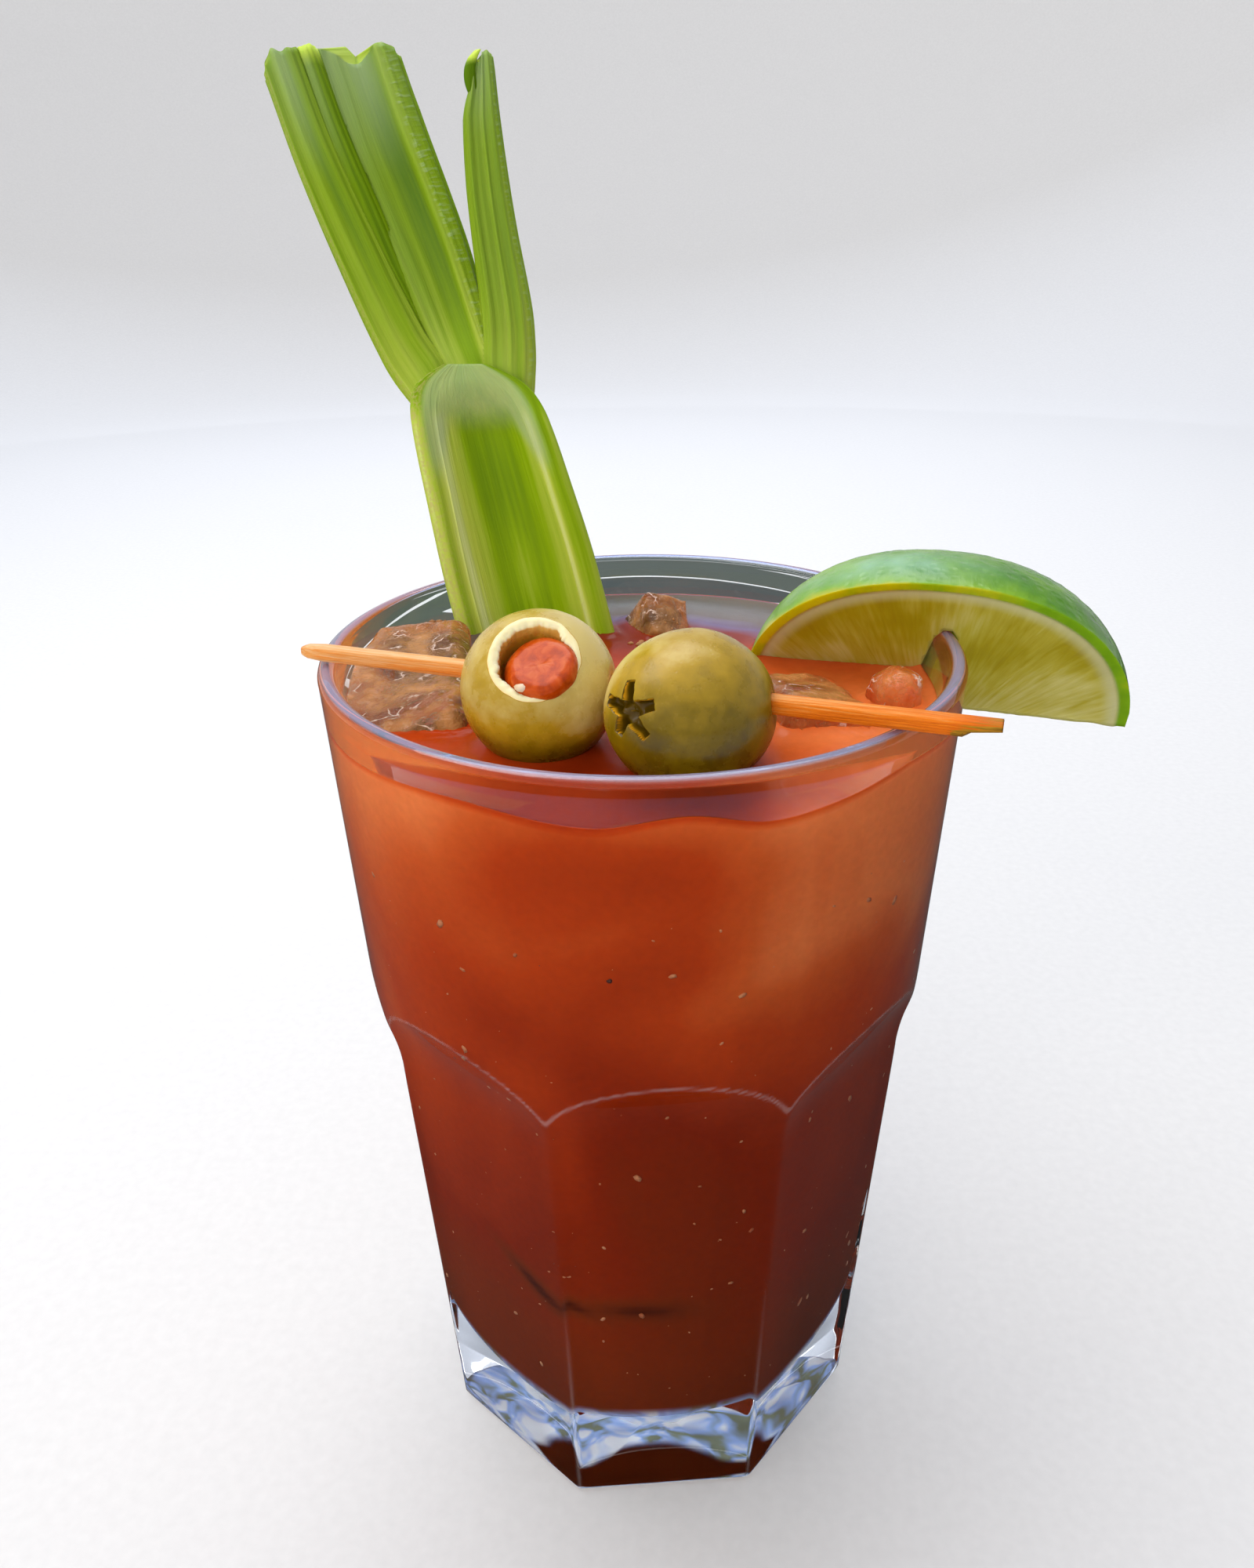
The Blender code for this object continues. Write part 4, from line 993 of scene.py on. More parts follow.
def make_stem(name):
    stations, hollow, ridges, side = STEMS[name]
    first, last = stations[0][0], stations[-1][0]
    top_ring = STEM_RINGS - 1
    angle = turns(STEM_POINTS)
    rings, marks = [], {k: [] for k in CELERY_MARKS}
    for n in range(STEM_RINGS + CLOSING_RINGS):
        inward = 1 - max(0, n - top_ring) * 0.2
        level = blend(first, last, min(n, top_ring) / top_ring)
        middle, back, width, thickness = along(stations, level)
        rise = float(ease((level - first) / 14.0))
        below, above = max(level - 1, first), min(level + 1, last)
        slope = (along(stations, above)[0] - along(stations, below)[0]) / (above - below)
        x, y = -np.cos(angle), np.sin(angle)
        ripple = 1 + 0.03 * np.cos(14 * angle)
        front = np.maximum(-y, 0.0)
        dip = hollow * rise * front * np.maximum(0.0, 1 - (x / HOLLOW_SHARE) ** 2)
        raised = sum(h * hump(x, p, w) for p, w, h in ridges) * rise * np.sqrt(front)
        px = x * width / 2 * ripple * inward
        py = (y * thickness / 2 * ripple + dip - raised) * inward
        up = level - slope * px
        to_cut = min(1.0, (n - top_ring + CUT_RINGS) / CUT_RINGS)
        if to_cut > 0:
            # The rings below the cut are squeezed in under its slanted, torn edge
            start = blend(first, last, (top_ring - CUT_RINGS) / top_ring) - slope * px
            whole_px = x * width / 2
            ends = np.array([along(CUT_ENDS, middle + v)[0] for v in whole_px])
            torn = 0.15 * rough(np.stack([whole_px, y * thickness / 2, x * 0], 1), 1.2)
            ends = ends - 0.15 * (1 - inward) + torn
            up = blend(start, ends, to_cut)
        rings.append(stalk_points(middle + px, up, back + py))
        near_node = float(np.exp(-(level - first) / 9.0))
        top = float(ease((level - 60) / 20))
        marks["grain"].append(np.stack([x * width / 2 + 40 * side, y * 5, up], 1))
        # How much of the painted sheen each stem's front carries, more towards the top
        flank = {"left": 0.25, "web": 0.0, "middle": 0.75 * hump(x, -0.7, 0.3) + 0.35, "right": 0.7}
        marks["bloom"].append(np.clip(front * (0.2 + 0.8 * top) * flank[name]
                                      + 0.6 * top * front * hump(x, 0.0, 0.4), 0.0, 1.0))
        # Painted shade down the hollow front of each stem, fading towards the top
        deep = 0.3 * hump(x, 0.22, 0.3) if name == "middle" else 0.12 * hump(x, 0.3, 0.25)
        marks["pale"].append(0.34 + 0.3 * near_node + 0.22 * front * hump(x, side, 0.12)
                             - front * deep * (1 - 0.7 * top) - (0.12 if name == "web" else 0.0))
        marks["leafy"].append(np.full(STEM_POINTS, float(ease((level - first - 2) / 22))))
        outer_face = ease((x - side) / 0.1) if side > 0 else ease((side - x) / 0.1)
        marks["wrinkle"].append(1.6 * outer_face * front if side > 0 else x * 0)
        marks["blush"].append(outer_face * front if side < 0 else x * 0)
        end = float(ease((n - STEM_RINGS + 4) / 3)) if name == "web" else float(n >= STEM_RINGS)
        marks["cut"].append(np.full(STEM_POINTS, (1.0 if name == "web" else 0.6) * end))
    points, faces = skin(rings)
    return points, faces, {k: skin_marks(v) for k, v in marks.items()}


FOLDED_END = [(67.2, 11.0, 1.4, 1.2, 0.8), (69.6, 10.9, 0.8, 1.7, 1.1), (71.4, 11.3, 0.5, 1.7, 1.1),
              (72.7, 12.1, 0.6, 1.5, 1.0), (73.5, 12.9, 1.0, 1.1, 0.8)]


def make_folded_end():
    """The little torn leaf end folded beside the thin stem's tip."""
    angle = turns(24)
    rings = []
    for n in range(18):
        level = blend(FOLDED_END[0][0], FOLDED_END[-1][0], n / 17)
        middle, back, width, thickness = along(FOLDED_END, level)
        rings.append(stalk_points(middle + width / 2 * np.cos(angle), np.full(24, level),
                                  back + thickness / 2 * np.sin(angle)))
    points, faces = skin(rings)
    up = (points[:, 2] - points[:, 2].min()) / np.ptp(points[:, 2])
    marks = {"grain": points - points[0], "pale": np.full(len(points), 0.0),
             "cut": ease((up - 0.72) / 0.15)}
    for name in ("leafy", "blush", "wrinkle", "bloom"):
        marks[name] = np.full(len(points), 0.6 if name == "leafy" else 0.0)
    return points, faces, marks


def make_celery(material):
    parts = [make_stalk(), *[make_stem(name) for name in STEMS], make_folded_end()]
    celery = None
    for points, faces, marks in parts[:-1]:
        part = add_piece("celery_stalk", points, faces, [material])
        celery = combine(celery, part, "UNION") if celery else part
    celery.name = celery.data.name = "celery_stalk"
    # The folded end is a closed shell of its own, sunk into the thin stem
    folded = add_piece("folded_end", *parts[-1][:2], [material])
    bm = bmesh.new()
    bm.from_mesh(celery.data)
    bm.from_mesh(folded.data)
    bm.to_mesh(celery.data)
    bm.free()
    bpy.data.objects.remove(folded)
    # Each point of the joined stalk takes its marks from the nearest point of the parts
    every = np.vstack([points for points, _, _ in parts])
    tree = KDTree(len(every))
    for i, point in enumerate(every):
        tree.insert(point, i)
    tree.balance()
    nearest = np.array([tree.find(p)[1] for p in points_of(celery)])
    for mark in parts[0][2]:
        set_mark(celery, mark, np.concatenate([marks[mark] for _, _, marks in parts])[nearest])
    celery.data.shade_smooth()
    return celery


# Olives and pimento

OLIVES = {
    # centre, direction of the pitted end, half length, radius
    "olive_1": (Vector((-12.2, -17.6, 126.5)), Vector((0.006, -0.70, 0.713)), 10.0, 9.4),
    "olive_2": (Vector((5.6, -24.7, 126.5)), Vector((-0.66, -0.72, 0.25)), 10.9, 9.3),
}
HOLE_RADIUS = 4.2
HOLE_DEPTH = 7.2
CUT_RIM = 1.15               # width of the cream cut round the hole
OLIVE_COLUMNS = 192
# The star cut in the second olive: each arm's angle and length
STAR_MIDDLE = (-0.38, 0.43)
STAR_ARMS = [(106, 3.2), (176, 3.9), (251, 2.9), (321, 3.5), (27, 3.3)]
STAR_ARM_WIDTH = 1.35
STAR_DEPTH = 2.2
DENT_DEPTH = 0.9             # how far the pick presses the skin in, and how wide
DENT_WIDTH = 1.7
PIMENTO_RADIUS = 4.3
PIMENTO_HALF = 2.3           # half of its length
PIMENTO_DEPTH = 3.9          # how far its middle lies under the olive's end


def olive_axes(name):
    """Directions of an olive: to the right and up as its pitted end is looked at, and out of it."""
    out = OLIVES[name][1].normalized()
    right = Vector((0.0, 0.0, 1.0)).cross(out).normalized()
    return np.array([right, out.cross(right), out])


def olive_to_world(name, points):
    return np.array(OLIVES[name][0]) + np.asarray(points) @ olive_axes(name)


def pick_dent(points, out):
    """Presses the skin in a little round the pick."""
    start = np.array([PICK_LEFT.x, PICK_LEFT.y, PICK_HEIGHT])
    line = np.array(PICK_RIGHT - PICK_LEFT) / (PICK_RIGHT - PICK_LEFT).length
    off = points - start
    away = np.linalg.norm(off - np.outer(off @ line, line), axis=1)
    return points - out * (DENT_DEPTH * np.exp(-(away / DENT_WIDTH) ** 2))[:, None]


# Each olive's tone with painted light and shade at heights from its underside, -1, to its top, 1
RIPENESS = {
    "olive_1": [(-1.0, 0.0), (-0.75, 0.08), (-0.5, 0.26), (-0.2, 0.66), (0.2, 0.78), (1.0, 0.86)],
    "olive_2": [(-1.0, 0.0), (-0.75, 0.04), (-0.3, 0.18), (0.1, 0.3), (0.5, 0.5), (1.0, 0.72)],
}


def finish_olive(name, points, faces, marks, material):
    centre = np.array(OLIVES[name][0])
    world = olive_to_world(name, points)
    out = world - centre
    out /= np.linalg.norm(out, axis=1)[:, None] + 1e-9
    world = world + out * (0.14 * rough(world, 7.0, 3) + 0.03 * rough(world, 1.4, 5))[:, None]
    world = pick_dent(world, out)
    radius = OLIVES[name][3]
    side = points[:, 0] / radius
    low = (world[:, 2] - centre[2]) / radius
    heights, tones = zip(*RIPENESS[name])
    # Painted light: the first olive is paler on its right flank, where the second shades it, and
    # the second one on its left
    flank = (0.26 * ease((side - 0.1) / 0.5) if name == "olive_1"
             else 0.55 * ease((-side - 0.2) / 0.5))
    marks["ripe"] = np.interp(low, heights, tones) + flank * ease((low + 0.7) / 0.4)
    return add_piece(name.replace("olive", "green_olive"), world, faces, [material], marks)


def make_pitted_olive(material):
    name = "olive_1"
    _, _, half, radius = OLIVES[name]
    turn = turns(OLIVE_COLUMNS)
    circle = round_ring(1.0, 0.0, turn)
    ragged = 0.4 * rough(circle * 3.0, 1.0, 1) + 0.26 * rough(circle * 12.0, 1.0, 2)
    edge = HOLE_RADIUS + CUT_RIM + 0.18 * rough(circle * 3.0, 1.0, 7)
    hole = HOLE_RADIUS + ragged
    limit = math.pi - np.arcsin(edge / (radius * 0.985))
    rings, flesh = [], []
    for s in np.linspace(0.012, 1.0, 110):
        a = limit * s
        full = (1 + OLIVE_SHOULDER * np.sin(a) ** 2) / (1 + OLIVE_SHOULDER)
        r = radius * full * np.sin(a)
        rings.append(round_ring(r, -half * np.cos(a), turn))
        flesh.append(np.zeros(OLIVE_COLUMNS))
    top = rings[-1][:, 2]
    for s in (0.1, 0.35, 0.6, 0.85, 1.0):
        r = blend(edge, hole, s)
        lift = 0.25 * math.sin(math.pi * s) - 0.1 * s + 0.1 * rough(circle * (5 + 3 * s), 1.0, 9)
        rings.append(round_ring(r, top + lift, turn))
        flesh.append(np.full(OLIVE_COLUMNS, blend(0.9, 1.0, s)))
    rim = rings[-1][:, 2]
    for s in np.linspace(0.06, 1.0, 14):
        spots = np.hstack([circle[:, :2] * 4, np.full((OLIVE_COLUMNS, 1), 5 * s)])
        r = (blend(hole, HOLE_RADIUS, min(1.0, 3 * s)) * (1 - 0.1 * s)
             + 0.12 * rough(spots, 1.0, 4))
        rings.append(round_ring(r, rim - HOLE_DEPTH * s, turn))
        # Painted shade: the hole's wall darker further down
        flesh.append(np.full(OLIVE_COLUMNS, blend(0.75, 0.5, min(1, s * 3))))
    points, faces = skin(rings)
    return finish_olive(name, points, faces, {"flesh": skin_marks(flesh)}, material)


def star_depth(x, y):
    """How deep the star cut is at places on the olive's end, from 0 to 1."""
    x, y = x - STAR_MIDDLE[0], y - STAR_MIDDLE[1]
    nearest = np.full(len(x), 9.0)
    for angle, length in STAR_ARMS:
        c, s = math.cos(math.radians(angle)), math.sin(math.radians(angle))
        down = x * c + y * s
        share = np.clip(down / length, 0.0, 1.0)
        width = blend(1.45, 0.85, share) * STAR_ARM_WIDTH + 0.08 * np.sin(4.1 * down + angle)
        off = np.maximum(np.abs(y * c - x * s) - width / 2, np.abs(down - length / 2) - length / 2)
        nearest = np.minimum(nearest, off)
    return ease(-nearest / 0.3 + 0.35)


def make_star_olive(material):
    name = "olive_2"
    _, _, half, radius = OLIVES[name]
    turn = turns(OLIVE_COLUMNS * 4 // 3)
    angles = [math.pi * s * 0.845 for s in np.linspace(0.02, 0.985, 70)]
    # The rings are closer on the end that carries the cut
    fine = [math.pi - math.asin(r / radius) for r in np.arange(4.9, 0.1, -0.13)]
    angles = [a for a in angles if a < fine[0] - 0.02] + fine
    rings, flesh = [], []
    for a in angles:
        full = (1 + OLIVE_SHOULDER * math.sin(a) ** 2) / (1 + OLIVE_SHOULDER)
        r = radius * full * math.sin(a)
        x, y = r * np.cos(turn), r * np.sin(turn)
        z = np.full(len(turn), -half * math.cos(a))
        depth = star_depth(x, y) if a > fine[0] else x * 0
        floor = 0.75 + 0.25 * np.cos(2.2 * x + 0.7) * np.cos(2.0 * y)
        rings.append(np.stack([x, y, z - STAR_DEPTH * depth * floor], 1))
        # Painted shade: the star cut darker where it is deepest
        flesh.append(np.where(depth > 0.06, blend(0.5, 0.06, ease(depth * 1.25)), 0.0))
    points, faces = skin(rings)
    return finish_olive(name, points, faces, {"flesh": skin_marks(flesh)}, material)


def make_pimento(material):
    """A curled strip of pepper pushed into the first olive, its top a soft fold."""
    name = "olive_1"
    half = OLIVES[name][2]
    turn = turns(120)
    circle = round_ring(1.0, 0.0, turn)
    rings = []
    for s in np.linspace(0, 1, 44):
        a = s * math.pi
        r = PIMENTO_RADIUS * math.sin(a) ** 0.3
        z = half - PIMENTO_DEPTH - PIMENTO_HALF * math.cos(a)
        wave = 1 + 0.04 * rough(circle * 1.6 + s, 1.0, 6)
        x = 0.8 + r * wave * circle[:, 0]
        y = -0.75 + r * wave * circle[:, 1]
        if s > 0.5:
            # The fold slopes down to the upper left, and its skin is a little lumpy
            z = z - 0.24 * (y - x) + 0.25 * rough(np.stack([x, y, x * 0], 1), 2.6, 8)
        rings.append(np.stack([x, y, np.broadcast_to(z, x.shape)], 1))
    points, faces = skin(rings)
    return add_piece("pimento_strip", olive_to_world(name, points), faces, [material])


# Pick

BROKEN_END = 6.5             # how much of the right end is broken to splinters


def make_pick(material):
    line = np.array((PICK_RIGHT - PICK_LEFT).normalized())
    side = np.array(Vector((0, 0, 1)).cross((PICK_RIGHT - PICK_LEFT).normalized()))
    start = np.array([PICK_LEFT.x, PICK_LEFT.y, PICK_HEIGHT])
    length = (PICK_RIGHT - PICK_LEFT).length
    broken = length - BROKEN_END
    places = [0.0, 0.4, 0.9, 1.8, 3.2, *np.linspace(5, length - 7, 60),
              *np.linspace(broken, length, 26)]
    angle = math.tau * (np.arange(32) + 0.5) / 32
    across = np.copysign(np.abs(np.cos(angle)) ** PICK_SQUARENESS, np.cos(angle))
    up = np.copysign(np.abs(np.sin(angle)) ** PICK_SQUARENESS, np.sin(angle))
    rings, grain, stain = [], [], []
    for place in places:
        size = float(np.interp(place, [0, 0.8, 3.0], [0.5, 0.82, 1.0]))
        width = blend(PICK_WIDTH_LEFT, PICK_WIDTH_RIGHT, place / length) * size
        x, y = across * width / 2, up * PICK_THICKNESS / 2 * size
        # The right end is broken off in a step, its upper fibres the longest
        end_share = float(ease((place - broken) / BROKEN_END))
        step = -4.2 * ease((0.25 - y) / 0.5) * end_share
        fray = 0.5 * rough(np.stack([x * 3, y * 3, x * 0], 1), 1.0, 2) * end_share
        shift = np.minimum(step + fray, 0.0)
        dent = 1 + 0.03 * rough(np.stack([x * 2, y * 2, np.full(32, place / 9)], 1), 1.0, 5)
        rings.append(start + np.outer(place + shift, line) + np.outer(x * dent, side)
                     + np.outer(y * dent, [0, 0, 1]))
        grain.append(np.stack([x, y, np.full(32, place)], 1))
        # Paler at the left end and along the top face, deepest at the broken right end
        stain.append(0.24 + 0.4 * place / length - 0.16 * (y > 0.7) + 0.32 * end_share + y * 0)
    points, faces = skin(rings)
    return add_piece("wooden_pick", points, faces, [material],
                     {"grain": skin_marks(grain), "stain": skin_marks(stain)})


# Lime

PEEL_THICKNESS = 1.2
PITH_THICKNESS = 1.1
PORE_ROOM = 0.1              # keeps the uneven tips within the wedge's length


def lime_axes():
    """Directions of the wedge: along its core, towards its back, and up its front cut face."""
    turn, droop = math.radians(LIME_TURN), math.radians(LIME_DROOP)
    length = Vector((math.cos(turn) * math.cos(droop), math.sin(turn) * math.cos(droop),
                     math.sin(droop)))
    back = Vector((0.0, 0.0, 1.0)).cross(length).normalized()
    up = length.cross(back)
    lean = math.radians(LIME_LEAN)
    face_up = up * math.cos(lean) - back * math.sin(lean)
    return np.array([length, face_up.cross(length), face_up])


def make_lime(material):
    length, back, face_up = lime_axes()
    core = np.array(LIME_CORE)
    face_shares = np.concatenate([np.linspace(0.04, 0.8, 26), np.linspace(0.82, 1.0, 20)])
    peel_angles = np.linspace(0, LIME_WEDGE_ANGLE, 42)[1:-1]
    rings, marks = [], {k: [] for k in ("peel", "pith", "ripe", "fan", "sheen")}
    for n in range(132):
        along_core = -math.cos(math.pi * blend(LIME_TIP, 1 - LIME_TIP, n / 131))
        radius = LIME_RADIUS * (1 - abs(along_core) ** LIME_BLUNTNESS) ** (1 / LIME_BLUNTNESS)
        flat = min(LIME_CORE_FLAT, radius * 0.3)
        reach = np.concatenate([[flat * 0.5], np.maximum(flat, radius * face_shares),
                                np.full(len(peel_angles), radius),
                                np.maximum(flat, radius * face_shares[::-1])])
        angle = np.radians(np.concatenate([
            [LIME_WEDGE_ANGLE / 2], np.zeros(len(face_shares)), peel_angles,
            np.full(len(face_shares), LIME_WEDGE_ANGLE)]))
        u = along_core * (LIME_HALF_LENGTH - PORE_ROOM)
        # How far inside the peel each point of a cut face is, measured square to the peel
        share = np.clip(reach / LIME_RADIUS, 0, 1)
        depth = (1 - (abs(along_core) ** LIME_BLUNTNESS + share ** LIME_BLUNTNESS)) * 10.2
        on_peel = np.zeros(len(reach))
        on_peel[1 + len(face_shares):-len(face_shares)] = 1.0
        peel = np.maximum(on_peel, ease((PEEL_THICKNESS - depth) / 0.5 + 0.5))
        pith = ease((PEEL_THICKNESS + PITH_THICKNESS - depth) / 1.4 + 0.5)
        across_face = np.outer(np.cos(angle), face_up) + np.outer(np.sin(angle), back)
        ring = core + length * u + across_face * reach[:, None]
        # The flesh swells a little out of each cut face, and the pith stands back
        face_out = np.where((angle < np.radians(LIME_WEDGE_ANGLE / 2))[:, None], -back,
                            back * math.cos(math.radians(LIME_WEDGE_ANGLE))
                            + face_up * math.sin(math.radians(LIME_WEDGE_ANGLE)))
        fan = np.arctan2(reach + 9, u)
        streaks = np.stack([fan * 30, np.hypot(reach + 9, u) * 0.16, angle * 8], 1)
        relief = (1 - on_peel) * (0.1 * rough(streaks * 0.8, 1.0, 3) * (1 - pith)
                                  - 0.15 * pith * (1 - peel) - 0.1)
        ring = ring + face_out * relief[:, None]
        pores = on_peel * (0.1 * rough(ring, 1.3, 2) - 0.1)
        ring = ring + across_face * pores[:, None]
        rings.append(ring)
        marks["peel"].append(peel)
        marks["pith"].append(pith)
        marks["fan"].append(streaks)
        edge = 1 - on_peel + on_peel * np.exp(-np.degrees(angle) / 4.0)
        # The peel's tone: yellow-green at the cut edges and darker towards its right end
        marks["ripe"].append(0.42 - 0.22 * along_core + 0.4 * edge)
        # A painted pale sheen on the peel's upper front, uneven in strength
        waxy = 0.75 + 0.4 * rough(ring, 3.0, 6)
        marks["sheen"].append(np.clip(0.7 * on_peel * waxy * hump(along_core, -0.3, 0.42)
                                      * hump(np.degrees(angle), 15.0, 11.0), 0.0, 1.0))
    points, faces = skin(rings)
    return add_piece("lime_slice", points, faces, [material],
                     {k: skin_marks(v) for k, v in marks.items()})


def rim_cutter():
    """The upper wall of the glass with clearance all round, to slit the wedge."""
    low, room, steps = 90.0, 0.35, 192
    inner = RIM_RADIUS - WALL_AT_LIP
    section = [(float(round_radius(low)) + room, low), (RIM_RADIUS + room, GLASS_HEIGHT - 1),
               (RIM_RADIUS - 0.6, GLASS_HEIGHT + 0.3), (inner + 0.6, GLASS_HEIGHT + 0.3),
               (inner - room, GLASS_HEIGHT - 1), (hollow_radius(low) - room, low)]
    bm = bmesh.new()
    rows = [[bm.verts.new((r * math.cos(a) * MM, r * math.sin(a) * MM, z * MM))
             for a in turns(steps)] for r, z in section]
    for one, two in zip(rows, rows[1:] + rows[:1]):
        for i in range(steps):
            j = (i + 1) % steps
            bm.faces.new((one[i], one[j], two[j], two[i]))
    bmesh.ops.recalc_face_normals(bm, faces=bm.faces)
    return new_object("rim_cutter", mesh_from("rim_cutter", bm))


# Drink

# Painted light and shade on the juice: soft paler and darker patches, and two dark strokes low
# down: bearing from the front, height, half width, half height, lean, how much paler
CLOUDS = [
    (-62, 60, 12, 48, 0.0, 0.13), (62, 108, 14, 16, 0.0, 0.2), (16, 97, 16, 5, 0.35, 0.08),
    (0, 114, 16, 7, 0.0, -0.2), (2, 99, 13, 6, 0.0, -0.07), (-22, 88, 12, 6, -0.4, -0.08),
    (-14, 100, 10, 5, 0.2, 0.04), (14, 62, 12, 16, 0.2, -0.1), (-6, 64, 6, 12, 0.1, -0.04),
    (36, 72, 8, 16, 0.2, -0.06), (-30, 42, 10, 14, 0.0, 0.05), (-3, 46, 5, 8, 0.0, 0.04),
    (0, 76, 15, 50, 0.0, -0.06), (56, 60, 12, 50, 0.0, 0.04), (-38, 106, 9, 9, 0.0, -0.08),
    (-29, 39.7, 7, 1.7, -0.5, -0.4), (-4, 37.6, 9, 2.0, -0.04, -0.36), (8, 26, 16, 4, 0.0, 0.02),
]
CLOUD_RADIUS = 33            # turns a bearing into millimetres along the wall
MENISCUS = 0.8               # how far the drink climbs the wall
PIECE_MENISCUS = 0.7         # the same at the pieces in it
SURFACE_ABOVE = 100          # whatever of it is off the wall and higher is its surface
GLOW_BELOW = 20
# How the contact line waves along the wall: bearing from the front, height
CONTACT_WAVES = [(-180, 0.0), (-95, 0.3), (-60, -0.4), (-30, 0.5), (-8, -0.7), (7, 0.8), (20, -1.0),
                 (32, -0.5), (50, 0.9), (75, -0.3), (120, 0.3), (180, 0.0)]


def make_drink(side_material, top_material, ice, neighbours):
    turn = turns(DRINK_STEPS)
    centre = hollow_radius(CORNER_TOP) - FLOOR_CORNER
    profile = [(centre * s, FLOOR_HEIGHT - INTO_WALL) for s in np.linspace(0.04, 0.96, 24)]
    for step in range(13):
        a = math.radians(90 * step / 12)
        profile.append((centre + (FLOOR_CORNER + INTO_WALL) * math.sin(a),
                        CORNER_TOP - (FLOOR_CORNER + INTO_WALL) * math.cos(a)))
    top = DRINK_LEVEL + MENISCUS
    profile += [(hollow_radius(z) + INTO_WALL, z)
                for z in np.linspace(CORNER_TOP + 1.1, top, 96)]
    wall_rings = len(profile)
    reach = hollow_radius(DRINK_LEVEL)
    inward = [0.15, 0.4, 0.7, 1.0, 1.4, 1.9, 2.5, 3.1, *np.linspace(3.7, reach - 0.3, 58)]
    profile += [(reach - d, DRINK_LEVEL + MENISCUS * math.exp(-d / 1.1)) for d in inward]
    points, faces = skin([round_ring(r, z, turn) for r, z in profile])
    trees = [surface_tree(piece) for piece in [*ice, *neighbours]]
    ring_of = np.minimum(np.arange(len(points)) // DRINK_STEPS, len(profile) - 1)
    on_top = np.flatnonzero(ring_of >= wall_rings)
    ripple = 0.12 * rough(points[on_top] * [1, 1, 0], 9.0, 4)
    for i, wave in zip(on_top, ripple):
        spot = Vector(points[i])
        near = min((t.find_nearest(spot, 6.0)[3] or 6.0) for t in trees)
        points[i, 2] += wave + PIECE_MENISCUS * math.exp(-near / 0.9)
    bearing = np.degrees(np.arctan2(points[:, 0], -points[:, 1]))
    waves = np.array([along(CONTACT_WAVES, b)[0] for b in bearing])
    from_wall = np.maximum(reach - np.hypot(points[:, 0], points[:, 1]), 0.0)
    rise = waves * ease((points[:, 2] - DRINK_LEVEL + 7) / 7) * np.exp(-from_wall / 2.0)
    wider = 1 + INNER_TAPER * rise * np.exp(-from_wall / 2.0) / np.hypot(points[:, 0], points[:, 1])
    points[:, 2] += rise
    points[:, :2] *= wider[:, None]
    drink = add_piece("tomato_drink", points, faces, [side_material, top_material])
    on_wall = np.arange(len(faces)) // DRINK_STEPS < wall_rings - 1
    on_wall[-2 * DRINK_STEPS:-DRINK_STEPS] = True       # the middle of the underside
    drink.data.polygons.foreach_set("material_index", np.where(on_wall, 0, 1).astype(np.int32))
    for piece in ice:
        hole = new_object(piece.name, piece.data.copy())
        hole.data.materials.clear()
        for material in (side_material, top_material):
            hole.data.materials.append(material)
        hole.data.polygons.foreach_set("material_index",
                                       np.ones(len(hole.data.polygons), np.int32))
        move_points(hole, points_of(piece) - normals_of(piece) * 0.15)
        combine(drink, hole, "DIFFERENCE")
    mark_drink(drink)
    drink.data.shade_smooth()
    return drink


def mark_drink(drink):
    """Marks painted shade and light: paler and darker patches, a glow below, a grey reflection."""
    points = points_of(drink)
    bearing = np.degrees(np.arctan2(points[:, 0], -points[:, 1]))
    shade = np.zeros(len(points))
    for angle, height, wide, tall, lean, change in CLOUDS:
        off = (bearing - angle) * math.radians(1) * CLOUD_RADIUS
        up = points[:, 2] - height - lean * off
        shade += change * np.exp(-(off / wide) ** 2 - (up / tall) ** 2)
    from_middle = np.hypot(points[:, 0], points[:, 1])
    inside = from_middle < hollow_radius(points[:, 2]) - 0.1
    surface = (points[:, 2] > SURFACE_ABOVE) & inside
    shade *= np.where(surface, ease((from_middle - 10) / 22), 1.0)
    # Painted shade on the surface: darker all over, less so to the right, darkest towards the back
    right = ease((points[:, 0] - 8) / 10)
    behind = ease((points[:, 1] - 8) / 14)
    shade -= np.where(surface, blend(0.24, 0.1, right) + 0.4 * behind, 0.0)
    # A painted dark line of shade along the wall just under the contact line
    contact = DRINK_LEVEL + MENISCUS + np.array([along(CONTACT_WAVES, b)[0] for b in bearing])
    shade -= np.where(inside, 0.0, 0.22 * np.exp(-((points[:, 2] - contact + 0.2) / 0.45) ** 2))
    set_mark(drink, "shade", shade)
    # A painted glow: pale where the thick base shows the underside, with a soft halo
    # round its corner
    low = ease((CORNER_TOP - 0.6 - points[:, 2]) / 2.4)
    under = (points[:, 2] < FLOOR_HEIGHT + 0.2) * 1.0
    front = ease((points[:, 1] + 3.5 - 1.5 * np.cos(points[:, 0] / 5)) / 2.5)
    patch = 0.75 + 0.35 * rough(points, 5.0, 9)
    glow = np.clip(np.where(under > 0, front * patch, 0.42 * low), 0.0, 1.0)
    set_mark(drink, "glow", np.where(points[:, 2] < GLOW_BELOW, glow, 0.0))
    # A painted grey reflection of the glass wall on the surface near the far wall
    off_wall = hollow_radius(DRINK_LEVEL) - from_middle
    far = ease((points[:, 1] - 6) / 12) * surface
    wavy = 1.2 * rough(points * [0.4, 1, 1], 3.0, 2)
    set_mark(drink, "wall", np.clip(1.12 - (off_wall + wavy) / 17.0, 0.0, 1.0) * far)


